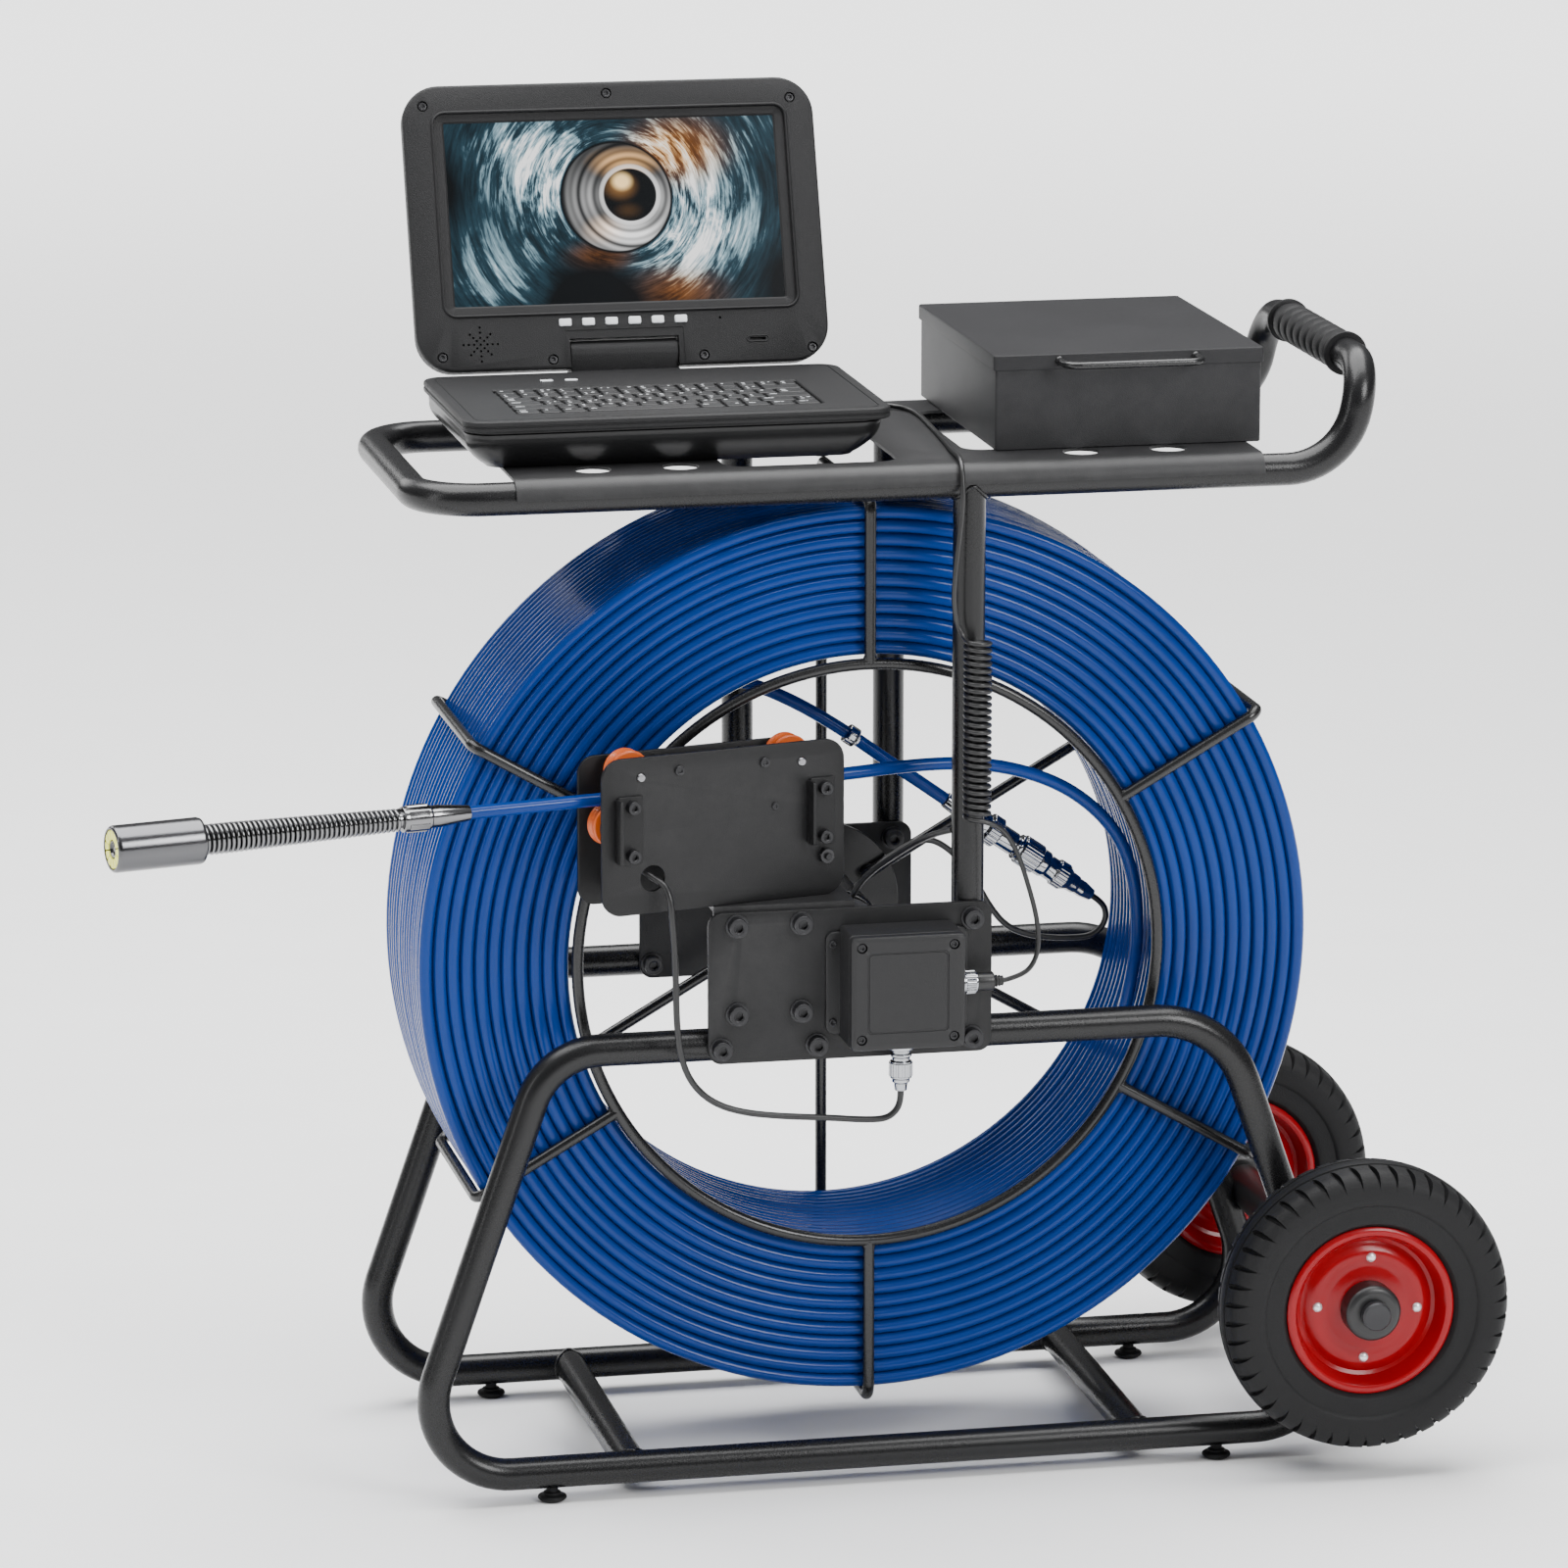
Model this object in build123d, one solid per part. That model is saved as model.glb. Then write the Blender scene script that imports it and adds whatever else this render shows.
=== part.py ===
"""Drain inspection camera on a wheeled cart: cage reel of push cable, yawed roller guide, camera head,
counter box, tray with monitor and battery box.

Millimetres. +X runs along the cart from the camera head to the wheels, +Y is the back of the cart (the
monitor faces -Y) and +Z is up. The floor is Z = 0. Every part is drawn about the middle of the four
feet, and export() moves it to the row's origin, the bottom centre of the object's box.
"""
from build123d import *
from math import cos, radians, sin, tan
import os

# Steel tube frame
TUBE_R, TUBE_WALL = 11.0, 2.0
LOOP_Y = 121.5                       # the two side frames stand at Y = -LOOP_Y and +LOOP_Y
BASE_Z, RAIL_Z, TRAY_Z = 19.7, 311.8, 688.4
BASE_HALF, RAIL_HALF = 334.0, 232.5  # half lengths of the side frame at its sharp corners
BASE_BEND, LEFT_BEND, RIGHT_BEND = 53.0, 50.0, 66.0
CROSSBAR_X = 176.5
FOOT_X, FOOT_R = 232.0, 10.0
POST_X = 54.0

# Wheels
WHEEL_X, WHEEL_Y, WHEEL_Z = 320.0, 172.5, 119.5
TYRE_R, TYRE_W, RIM_R, HUB_R = 100.0, 50.0, 58.0, 19.5
AXLE_R, AXLE_TUBE_R, AXLE_END = 8.0, 14.0, 209.0
RUN_FIT = 0.05                       # radial clearance of every running fit

# Tray and handle
TRAY_LEFT, TRAY_BEND = -313.6, 42.0
HANDLE_FOOT_X, HANDLE_X, HANDLE_Z = 311.5, 326.0, 757.0
PLATE_X0, PLATE_X1, SHEET = -253.0, 254.0, 2.0
TRAY_TOP = TRAY_Z + TUBE_R + SHEET
GRIP_R, GRIP_HALF = 13.5, 73.0

# Mid plates that carry the reel, the guide and the counter
MID_X0, MID_X1, MID_Z0, MID_Z1, MID_T = -126.5, 67.5, 301.5, 405.0, 4.0
MID_BACK_FACE = TUBE_R               # each plate's back face lies this far in front of its side frame
SHELF_BOLTS = [(-107.0, 396.0), (-63.0, 396.0), (-107.0, 335.5), (-63.0, 335.5)]
FRAME_BOLTS = [(-118.0, RAIL_Z), (-52.5, RAIL_Z), (POST_X, RAIL_Z), (POST_X, 394.0)]
BOLT_R, HEAD_R, HEAD_H, NUT_H = 4.0, 6.5, 7.5, 6.5

# Reel: cage, coil of cable, hub, axle and slip ring
REEL_X, REEL_Z = -3.5, 357.2
COIL_IN, COIL_OUT, COIL_HALF = 205.5, 307.5, 73.0
RING_R, ROD_R, ROD_Y, ROD_OUT = 201.0, 4.0, 77.6, 312.6
SPOKE_ANGLES = [90, 30, -30, -90, -150, 150]
HUB_DISC_R, HUB_DISC_Y0, HUB_DISC_T = 56.0, 81.7, 4.0
SLEEVE_R, SLEEVE_Y0, SLIP_R, SLIP_Y0, SLIP_Y1 = 25.0, 2.0, 22.0, -30.0, -2.0
REEL_AXLE_R = 10.0

# Cable guide: local X along the cable, local Y away from the viewer, turned about Z
GUIDE_AT, GUIDE_YAW = (-110.0, -128.0), 13.3
GUIDE_S0, GUIDE_S1, GUIDE_Z0, GUIDE_Z1 = -92.8, 84.3, 409.0, 515.4
GUIDE_T, GUIDE_GAP, CABLE_DEPTH = 3.0, 39.0, 24.0
BACK_S1, BACK_Z1 = 56.0, 510.5
ROLLERS = [(-64.6, 501.8), (52.8, 501.8), (-76.3, 466.4), (67.7, 466.4)]
ROLLER_R, ROLLER_HALF, PIN_R = 14.6, 6.0, 3.0
SPACERS = [(-36.9, 504.2), (25.4, 503.9), (33.1, 473.3), (70.0, 436.2), (-72.0, 420.0)]
CABLE_R, CABLE_Z = 4.5, 484.2

# Camera head, along the guide's own line; distances from the guide's middle towards the free end
FERRULE_S0, SPRING_S0, HEAD_S0, HEAD_S1 = 178.0, 226.0, 366.0, 428.0
FERRULE_R, SPRING_R0, SPRING_R1, HEAD_R0, LENS_R = 8.5, 7.5, 10.2, 15.5, 10.5

# Monitor
DECK_X0, DECK_X1, DECK_Y0, DECK_Y1, DECK_TOP, DECK_T = -280.0, 9.0, -95.0, 91.0, 735.0, 8.0
KEYS_X0, KEYS_X1, KEYS_Y0, KEYS_Y1 = -241.0, -33.0, -66.0, 28.0
KEY_COLUMNS, KEY_ROWS, KEY_TRAVEL = 15, 5, 1.5
SCREEN_X, SCREEN_W, SCREEN_H, SCREEN_T, SCREEN_LEAN = -137.5, 287.0, 199.5, 18.0, 20.0
HINGE_Y, HINGE_Z, HINGE_DROP, HINGE_W, HINGE_R = 102.0, 746.0, 12.2, 76.0, 7.3
VIEW_W, VIEW_H, VIEW_LOW, BEZEL_T = 230.0, 127.6, 45.5, 6.0
BUTTON_PITCH, BUTTON_UP, BUTTON_W, BUTTON_H = 16.1, 32.0, 8.7, 5.4

# Battery box
BOX_X0, BOX_X1, BOX_Y0, BOX_Y1, BOX_TOP, BOX_WALL = 80.0, 263.5, -86.0, 138.0, 766.0, 1.5
LID_SKIRT, LID_GAP, LID_WALL = 10.0, 0.4, 1.2
LID_PIN_R, LID_PIN_Y, LID_PIN_Z = 1.5, 144.0, 757.0

# Counter box on the front mid plate
COUNTER_X, COUNTER_Z, COUNTER_W, COUNTER_FLANGE = 1.6, 354.3, 78.0, 97.0
COUNTER_DEPTH, COUNTER_COVER = 38.0, 6.0

MID_FRONT_Y = -LOOP_Y - MID_BACK_FACE - MID_T
COUNTER_FACE = MID_FRONT_Y - COUNTER_DEPTH
YAW_COS, YAW_SIN = cos(radians(GUIDE_YAW)), sin(radians(GUIDE_YAW))


def guide_point(s, depth):
    """X and Y of a point given along the guide and behind its front face."""
    return (GUIDE_AT[0] + s * YAW_COS - depth * YAW_SIN, GUIDE_AT[1] + s * YAW_SIN + depth * YAW_COS)


HEAD_X, HEAD_Y = guide_point(-HEAD_S1, CABLE_DEPTH)
CART_X = -((WHEEL_X + TYRE_R) + (HEAD_X - HEAD_R0 * YAW_SIN)) / 2
CART_Y = -(AXLE_END + (HEAD_Y - HEAD_R0 * YAW_COS)) / 2


def export(name, *solids):
    """Writes one node, moved from the cart's centre to the row's origin."""
    moved = [Pos(CART_X, CART_Y, 0) * s for s in solids]
    shape = moved[0] if len(moved) == 1 else Compound(children=moved)
    shape.label = name
    export_step(shape, f"parts/{name}.step")


def block(x0, x1, y0, y1, z0, z1):
    return Pos((x0 + x1) / 2, (y0 + y1) / 2, (z0 + z1) / 2) * Box(x1 - x0, y1 - y0, z1 - z0)


def along(axis, length_from, length_to, radius, a=0.0, b=0.0):
    """A cylinder along X, Y or Z; a and b are its other two coordinates in X, Y, Z order."""
    length, middle = length_to - length_from, (length_from + length_to) / 2
    if axis == "X":
        return Pos(middle, a, b) * Rot(0, 90, 0) * Cylinder(radius, length)
    if axis == "Y":
        return Pos(a, middle, b) * Rot(90, 0, 0) * Cylinder(radius, length)
    return Pos(a, b, middle) * Cylinder(radius, length)


def plate(x0, x1, z0, z1, corner, y0, y1):
    """A plate that stands in XZ with round corners, from y0 to y1."""
    face = Pos((x0 + x1) / 2, (z0 + z1) / 2) * RectangleRounded(x1 - x0, z1 - z0, corner)
    return extrude(Plane.XZ.offset(-y0) * face, -(y1 - y0))


def slab(x0, x1, y0, y1, corner, z0, z1):
    """A plate that lies in XY with round corners, from z0 to z1."""
    face = Pos((x0 + x1) / 2, (y0 + y1) / 2) * RectangleRounded(x1 - x0, y1 - y0, corner)
    return extrude(Plane.XY.offset(z0) * face, z1 - z0)


def rod(path, radius):
    """A round rod along a path."""
    return sweep(Plane(origin=path @ 0, z_dir=path % 0) * Circle(radius), path=path)


def turned(points, axis_at, axis="Y"):
    """A solid of revolution from (radius, position along the axis) points."""
    x, z = axis_at
    outline = make_face(Plane.XZ * Polyline(*points, close=True))
    spun = revolve(outline, Axis.Z)
    return Pos(x, 0, z) * Rot(-90, 0, 0) * spun if axis == "Y" else Pos(x, z, 0) * spun


def hexagon(axis_from, height, across, x, z, hole):
    """A nut along +Y from axis_from."""
    body = extrude(RegularPolygon(across / 2, 6, major_radius=False) - Circle(hole), height)
    return Pos(x, axis_from, z) * Rot(-90, 0, 0) * body


# ---------------------------------------------------------------- frame

def side_frame(y, radius=TUBE_R):
    corners = [(-BASE_HALF, y, BASE_Z), (-RAIL_HALF, y, RAIL_Z), (RAIL_HALF, y, RAIL_Z),
               (BASE_HALF, y, BASE_Z)]
    bends = [BASE_BEND, LEFT_BEND, RIGHT_BEND, BASE_BEND]
    return rod(FilletPolyline(*corners, radius=bends, close=True), radius)


def tray_loop(radius=TUBE_R):
    """One bent tube: the tray's rim, and the handle that rises from its right end."""
    y, z = LOOP_Y, TRAY_Z
    corners = [
        (TRAY_LEFT, -y, z), (HANDLE_FOOT_X, -y, z), (HANDLE_X, -y, HANDLE_Z),
        (HANDLE_X, y, HANDLE_Z), (HANDLE_FOOT_X, y, z), (TRAY_LEFT, y, z),
    ]
    bends = [TRAY_BEND, 48, 29, 29, 48, TRAY_BEND]
    return rod(FilletPolyline(*corners, radius=bends, close=True), radius)


SIDES = [side_frame(-LOOP_Y), side_frame(LOOP_Y)]
TRAY = tray_loop()


def bolt_shanks():
    """The holes that the frame bolts need through the rails and the posts."""
    holes = []
    for y in (-LOOP_Y, LOOP_Y):
        holes += [along("Y", y - 20, y + 14, BOLT_R, x, z) for x, z in FRAME_BOLTS]
    return holes


SHANKS = bolt_shanks()


def side_frames():
    hollow = [side_frame(-LOOP_Y, TUBE_R - TUBE_WALL), side_frame(LOOP_Y, TUBE_R - TUBE_WALL)]
    return [outer - inner - SHANKS for outer, inner in zip(SIDES, hollow)]


def cross_tubes():
    """Two base crossbars and the tube that carries the wheel axle, coped against the side frames."""
    made = []
    for x in (-CROSSBAR_X, CROSSBAR_X):
        tube = along("Y", -LOOP_Y, LOOP_Y, TUBE_R, x, BASE_Z)
        made.append(tube - along("Y", -LOOP_Y, LOOP_Y, TUBE_R - TUBE_WALL, x, BASE_Z) - SIDES)
    end = LOOP_Y + TUBE_R + 4
    carrier = along("Y", -end, end, AXLE_TUBE_R, WHEEL_X, WHEEL_Z)
    carrier -= along("Y", -end, end, AXLE_R, WHEEL_X, WHEEL_Z)
    carrier = carrier - SIDES
    return made + [max(carrier.solids(), key=lambda s: s.volume)]


def levelling_feet():
    feet = []
    for x in (-FOOT_X, FOOT_X):
        for side in SIDES:
            y = -LOOP_Y if side is SIDES[0] else LOOP_Y
            foot = turned([(0, 0), (FOOT_R - 2, 0), (FOOT_R, 2), (FOOT_R - 1, 4), (4, 5), (4, 12), (0, 12)],
                          (x, y), "Z")
            feet.append(foot - side)
    return feet


def posts():
    made = []
    for x, y in ((POST_X, -LOOP_Y), (POST_X, LOOP_Y), (-POST_X, LOOP_Y)):
        tube = along("Z", RAIL_Z, TRAY_Z, TUBE_R, x, y) - along("Z", RAIL_Z, TRAY_Z, TUBE_R - TUBE_WALL, x, y)
        made.append(max((tube - SIDES - [TRAY] - SHANKS).solids(), key=lambda s: s.volume))
    return made


def mid_plates():
    made = []
    for y in (-LOOP_Y, LOOP_Y):
        y1 = y - MID_BACK_FACE
        body = plate(MID_X0, MID_X1, MID_Z0, MID_Z1, 9, y1 - MID_T, y1)
        holes = FRAME_BOLTS + (SHELF_BOLTS if y < 0 else [])
        made.append(body - [along("Y", y1 - MID_T, y1, BOLT_R, x, z) for x, z in holes])
    return made


def socket_bolt(x, z, face, end):
    """A socket-head bolt with its head in front of face and its tip at end."""
    body = along("Y", face - HEAD_H, face, HEAD_R, x, z) + along("Y", face, end, BOLT_R, x, z)
    recess = Pos(x, face - HEAD_H + 2, z) * Rot(90, 0, 0) * extrude(RegularPolygon(3.4, 6), 4)
    return body - recess


def plate_fasteners():
    made = []
    for y in (-LOOP_Y, LOOP_Y):
        face, tip = y - MID_BACK_FACE - MID_T, y + TUBE_R + 8
        for x, z in FRAME_BOLTS:
            made.append(socket_bolt(x, z, face, tip))
            made.append(hexagon(y + TUBE_R, NUT_H, 13, x, z, BOLT_R))
    inner = -LOOP_Y - MID_BACK_FACE + 4
    for x, z in SHELF_BOLTS:
        made.append(socket_bolt(x, z, MID_FRONT_Y, inner + 8))
        made.append(hexagon(inner, NUT_H, 13, x, z, BOLT_R))
    return made


# ---------------------------------------------------------------- tray

def tray_plate():
    """A sheet on top of the rim tubes, with a rolled lip down the outside of each and lightening holes."""
    outer_r, y0 = TUBE_R + SHEET, LOOP_Y
    shape = block(PLATE_X0, PLATE_X1, -y0, y0, TRAY_Z + TUBE_R, TRAY_TOP)
    for side in (-1, 1):
        lip = along("X", PLATE_X0, PLATE_X1, outer_r, side * y0, TRAY_Z)
        lip -= along("X", PLATE_X0, PLATE_X1, TUBE_R, side * y0, TRAY_Z)
        keep = sorted((side * y0, side * (y0 + 20)))
        shape += lip & block(PLATE_X0, PLATE_X1, keep[0], keep[1], TRAY_Z, TRAY_TOP)
    low, high = TRAY_Z, TRAY_TOP + 1
    shape -= slab(-108, 10, -107, 95, 14, low, high)
    shape -= slab(61, 205, -78, 78, 14, low, high)
    for x in (-196, -137, 136, 196):
        for y in (-98, 98):
            shape -= along("Z", low, high, 12.5, x, y)
    return shape - [TRAY]


def handle_grip():
    """A rubber sleeve with raised rings round the handle's bar."""
    core = TUBE_R
    rings = [(core, -GRIP_HALF), (GRIP_R + 1.5, -GRIP_HALF), (GRIP_R + 1.5, -GRIP_HALF + 4)]
    count = 8
    pitch = 2 * (GRIP_HALF - 8) / count
    for i in range(count):
        y = -GRIP_HALF + 8 + i * pitch
        rings += [(GRIP_R - 1, y), (GRIP_R, y + 3), (GRIP_R, y + pitch - 5), (GRIP_R - 1, y + pitch - 2)]
    rings += [(GRIP_R + 1.5, GRIP_HALF - 4), (GRIP_R + 1.5, GRIP_HALF), (core, GRIP_HALF)]
    return turned(rings, (HANDLE_X, HANDLE_Z))


# ---------------------------------------------------------------- wheels

def wheel_axle():
    """One shaft through both wheels, with a head pressed on each end."""
    end, head, r = AXLE_END, AXLE_END - 6.5, AXLE_R + 2
    outline = [(0, -end), (r - 1.2, -end), (r, 1.2 - end), (r, -head), (AXLE_R, -head),
               (AXLE_R, head), (r, head),
               (r, end - 1.2), (r - 1.2, end), (0, end)]
    return turned(outline, (WHEEL_X, WHEEL_Z))


def tyre(side):
    half = TYRE_W / 2
    outline = [
        (RIM_R, -17), (RIM_R + 6, -half + 3), (82, -half + 1), (88, -half), (94, -half + 5),
        (TYRE_R - 1.5, -13),
        (TYRE_R, 0), (TYRE_R - 1.5, 13), (94, half - 5), (88, half), (82, half - 1), (RIM_R + 6, half - 3),
        (RIM_R, 17),
    ]
    return Pos(0, side * WHEEL_Y, 0) * turned(outline, (WHEEL_X, WHEEL_Z))


def rim(side):
    """Pressed dish on a sleeve that runs on the axle."""
    bore = AXLE_R + RUN_FIT
    outline = [
        (bore, -29), (HUB_R, -29), (HUB_R, -14), (30, -13), (46, -8), (50, -17), (RIM_R, -20), (RIM_R, 20),
        (50, 17), (46, 8), (30, 13), (HUB_R, 14), (HUB_R, 29), (bore, 29),
    ]
    return Pos(0, side * WHEEL_Y, 0) * turned(outline, (WHEEL_X, WHEEL_Z))


# ---------------------------------------------------------------- reel

def reel_point(angle, radius, y):
    a = radians(angle)
    return (REEL_X + radius * cos(a), y, REEL_Z + radius * sin(a))


def reel_cage():
    """Front ring and six U rods that hold the coil from outside and run in to the hub disc."""
    cage = Pos(REEL_X, -ROD_Y, REEL_Z) * Rot(90, 0, 0) * Torus(RING_R, ROD_R)
    for angle in SPOKE_ANGLES:
        corners = [
            reel_point(angle, RING_R, -ROD_Y), reel_point(angle, ROD_OUT, -ROD_Y),
            reel_point(angle, ROD_OUT, ROD_Y), reel_point(angle, 34, ROD_Y),
        ]
        cage += rod(FilletPolyline(*corners, radius=9), ROD_R)
    return cage


def cable_coil():
    round_off = 3.0
    outline = [
        (COIL_IN, -COIL_HALF), (COIL_OUT - round_off, -COIL_HALF), (COIL_OUT, -COIL_HALF + round_off),
        (COIL_OUT, COIL_HALF - round_off), (COIL_OUT - round_off, COIL_HALF), (COIL_IN, COIL_HALF),
    ]
    return turned(outline, (REEL_X, REEL_Z))


def reel_hub():
    bore, disc1 = REEL_AXLE_R + RUN_FIT, HUB_DISC_Y0 + HUB_DISC_T
    outline = [
        (bore, SLEEVE_Y0), (SLEEVE_R - 2, SLEEVE_Y0), (SLEEVE_R, SLEEVE_Y0 + 2), (SLEEVE_R, HUB_DISC_Y0),
        (HUB_DISC_R, HUB_DISC_Y0), (HUB_DISC_R, disc1), (SLEEVE_R, disc1), (SLEEVE_R - 6, disc1 + 8),
        (bore, disc1 + 8),
    ]
    return turned(outline, (REEL_X, REEL_Z))


def reel_axle():
    return along("Y", -LOOP_Y - MID_BACK_FACE, LOOP_Y - MID_BACK_FACE - MID_T, REEL_AXLE_R, REEL_X, REEL_Z)


def slip_ring():
    outline = [(REEL_AXLE_R, SLIP_Y0), (SLIP_R - 2, SLIP_Y0), (SLIP_R, SLIP_Y0 + 2), (SLIP_R, SLIP_Y1 - 2),
               (SLIP_R - 2, SLIP_Y1), (REEL_AXLE_R, SLIP_Y1)]
    return turned(outline, (REEL_X, REEL_Z))


# ---------------------------------------------------------------- guide

def at_guide(shape):
    return Pos(*GUIDE_AT, 0) * Rot(0, 0, GUIDE_YAW) * shape


def guide_shelf():
    """Bent bracket: a flange bolted behind the front mid plate and a shelf that the guide stands on."""
    y0, top = MID_FRONT_Y + MID_T, GUIDE_Z0
    shape = block(-122, -26, y0, y0 + 4, 326, top) + block(-122, -26, y0, -74, top - 4, top)
    return shape - [along("Y", y0, y0 + 4, BOLT_R, x, z) for x, z in SHELF_BOLTS]


def guide_bracket(s):
    """Small angle on the guide's front face, with its folded leg towards the viewer."""
    foot = block(s - 9, s + 9, -2, 0, 444, 490) + block(s - 11, s - 9, -12, 0, 446, 489)
    foot -= along("Y", -2, 0, 1.6, s - 1, 467)
    return foot - [along("Y", -2, 0, 2.5, s + 1, z) for z in (449.8, 483)]


def guide_plates():
    holes = [along("Y", -3, GUIDE_GAP + 5, PIN_R + RUN_FIT, s, z) for s, z in ROLLERS]
    front = plate(GUIDE_S0, GUIDE_S1, GUIDE_Z0, GUIDE_Z1, 14, 0, GUIDE_T)
    front -= along("Y", 0, GUIDE_T, 9, -56.4, 432.7)
    back = plate(GUIDE_S0, BACK_S1 + 28, GUIDE_Z0, BACK_Z1, 12, GUIDE_GAP, GUIDE_GAP + GUIDE_T)
    back -= block(BACK_S1, BACK_S1 + 40, GUIDE_GAP - 1, GUIDE_GAP + 5, 482, BACK_Z1 + 1)
    studs = [along("Y", -1, GUIDE_GAP + 5, 2, s, z) for s, z in SPACERS]
    brackets = [guide_bracket(-73.0), guide_bracket(67.5)]
    screws = [along("Y", 0, GUIDE_T, 2.5, s + 1, z) for s in (-73.0, 67.5) for z in (449.8, 483)]
    solids = [front - holes - studs - screws, back - holes - studs] + [b - holes for b in brackets]
    return [at_guide(s) for s in solids]


def guide_fasteners():
    """Spacers between the plates on through studs, and the four bracket screws."""
    made = []
    for s, z in SPACERS:
        spacer = along("Y", GUIDE_T, GUIDE_GAP, 4, s, z)
        spacer += along("Y", -2.5, GUIDE_GAP + GUIDE_T + 2.5, 2, s, z)
        made.append(spacer + along("Y", -2.5, 0, 3.6, s, z))
    for s in (-73.0, 67.5):
        for z in (449.8, 483):
            screw = along("Y", -7, -2, 4.5, s + 1, z) + along("Y", -2, GUIDE_T, 2.5, s + 1, z)
            made.append(screw)
    return [at_guide(s) for s in made]


def guide_roller(s, z):
    """A grooved roller turned in one piece with its pin."""
    half, flange, groove = ROLLER_HALF, ROLLER_R, ROLLER_R - 1.9
    outline = [
        (0, -1.5), (PIN_R, -1.5), (PIN_R, CABLE_DEPTH - half - 1), (6, CABLE_DEPTH - half - 1),
        (6, CABLE_DEPTH - half), (flange, CABLE_DEPTH - half), (flange, CABLE_DEPTH - half + 1.5),
        (groove + 0.7, CABLE_DEPTH - 2.4), (groove, CABLE_DEPTH), (groove + 0.7, CABLE_DEPTH + 2.4),
        (flange, CABLE_DEPTH + half - 1.5), (flange, CABLE_DEPTH + half), (6, CABLE_DEPTH + half),
        (6, CABLE_DEPTH + half + 1), (PIN_R, CABLE_DEPTH + half + 1), (PIN_R, GUIDE_GAP + 4.5),
        (0, GUIDE_GAP + 4.5),
    ]
    return at_guide(turned(outline, (s, z)))


def encoder_housing():
    """Counts the lower left roller's turns; it is screwed to the back of the guide's front plate."""
    s, z = ROLLERS[2]
    body = along("Y", GUIDE_T, 15, 12, s, z) - along("Y", GUIDE_T, 15, PIN_R + 0.5, s, z)
    return at_guide(body)


# ---------------------------------------------------------------- camera head

def on_cable(points):
    """A solid of revolution about the push cable's line, from (radius, distance to the free end) points."""
    x, y = guide_point(0, CABLE_DEPTH)
    spun = revolve(make_face(Plane.XZ * Polyline(*points, close=True)), Axis.Z)
    return Pos(x, y, CABLE_Z) * Rot(0, 0, GUIDE_YAW) * Rot(0, -90, 0) * spun


def head_body():
    s0, s1, r = HEAD_S0, HEAD_S1, HEAD_R0
    outline = [(0, s0), (r - 1.5, s0), (r, s0 + 1.5), (r, s0 + 16), (r - 0.6, s0 + 16.6), (r - 0.6, s0 + 18),
               (r, s0 + 18.6), (r, s1 - 1), (r - 1, s1), (13, s1), (13, s1 - 4), (LENS_R, s1 - 4),
               (LENS_R, s1 - 8), (0, s1 - 8)]
    return on_cable(outline)


def camera_lens():
    s1 = HEAD_S1
    return on_cable([(0, s1 - 8), (LENS_R, s1 - 8), (LENS_R, s1 - 4), (13, s1 - 4), (13, s1 - 1),
                     (0, s1 - 1)])


def head_spring():
    return on_cable([(0, SPRING_S0), (SPRING_R0, SPRING_S0), (SPRING_R1, HEAD_S0), (0, HEAD_S0)])


def cable_ferrule():
    a, b, r = FERRULE_S0, SPRING_S0, FERRULE_R
    outline = [(CABLE_R, a), (CABLE_R + 0.8, a), (r - 1, a + 22), (r - 1, a + 28), (r, a + 28.5), (r, a + 36),
               (r - 0.8, a + 37), (r - 0.8, a + 39), (r, a + 40), (r, b), (0, b), (0, a + 12),
               (CABLE_R, a + 12)]
    return on_cable(outline)


# ---------------------------------------------------------------- cables

def cable_radii(points):
    """The radius at each bend: 0.45 of the shorter run over the tangent of half the turn."""
    radii = []
    for a, b, c in zip(points, points[1:], points[2:]):
        u, v = Vector(*b) - Vector(*a), Vector(*c) - Vector(*b)
        radii.append(0.45 * min(u.length, v.length) / tan(radians(u.get_angle(v)) / 2))
    return radii


def cable(name, points, radius):
    """A cable's tube, with its tightest bend and length printed against its volume."""
    radii = cable_radii(points)
    path = FilletPolyline(*points, radius=radii)
    tube = rod(path, radius)
    ratio = tube.volume / (3.141593 * radius ** 2 * path.length)
    print(f"{name}: length {path.length:.0f}, tightest bend {min(radii):.1f}, "
          f"{min(radii) / (2 * radius):.1f} diameters, volume ratio {ratio:.4f}")
    return tube


PUSH_ROUTE = [
    guide_point(-190, CABLE_DEPTH) + (484.2,), guide_point(-120, CABLE_DEPTH) + (484.2,),
    guide_point(-50, CABLE_DEPTH) + (484.0,), guide_point(20, CABLE_DEPTH) + (484.25,),
    guide_point(92, CABLE_DEPTH) + (484.2,), (40, -68, 486), (88, -58, 481), (131, -50, 466), (161, -45, 445),
    (180.5, -42, 421), (190.5, -40, 393), (194, -38, 362), (191.5, -36, 330), (183, -35, 301),
]
TAIL_ROUTE = [
    (-118, 32, 520), (-93, 31, 531), (-64, 30, 526), (-32, 30, 511), (0, 30, 491), (34, 30, 466),
    (57, 30, 449.8),
    (73.5, 30, 437.8),
]
SIGNAL_ROUTE = [
    (178.9, 30, 364), (186.8, 30.5, 358.5), (190, 31.5, 349.4), (187.2, 33, 340.2), (179.5, 34.5, 334.2),
    (168.2, 35.5, 333.2), (152, 36, 333.8), (134.5, 35, 337), (119, 34, 344), (108, 33, 357),
    (99, 32, 373), (88, 31, 390), (76, 30, 403), (62, 28, 411),
    (47, 26, 408), (32, 24, 399), (18, 22, 389), (8, 20, 380.5),
]
STATOR_ROUTE = [
    (-3.5, -16, 379.8), (-1, -20, 389), (6, -30, 402), (18, -48, 417), (30, -70, 432), (40, -93, 443.5),
    (45.9, -112.5, 449.4),
]
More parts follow.
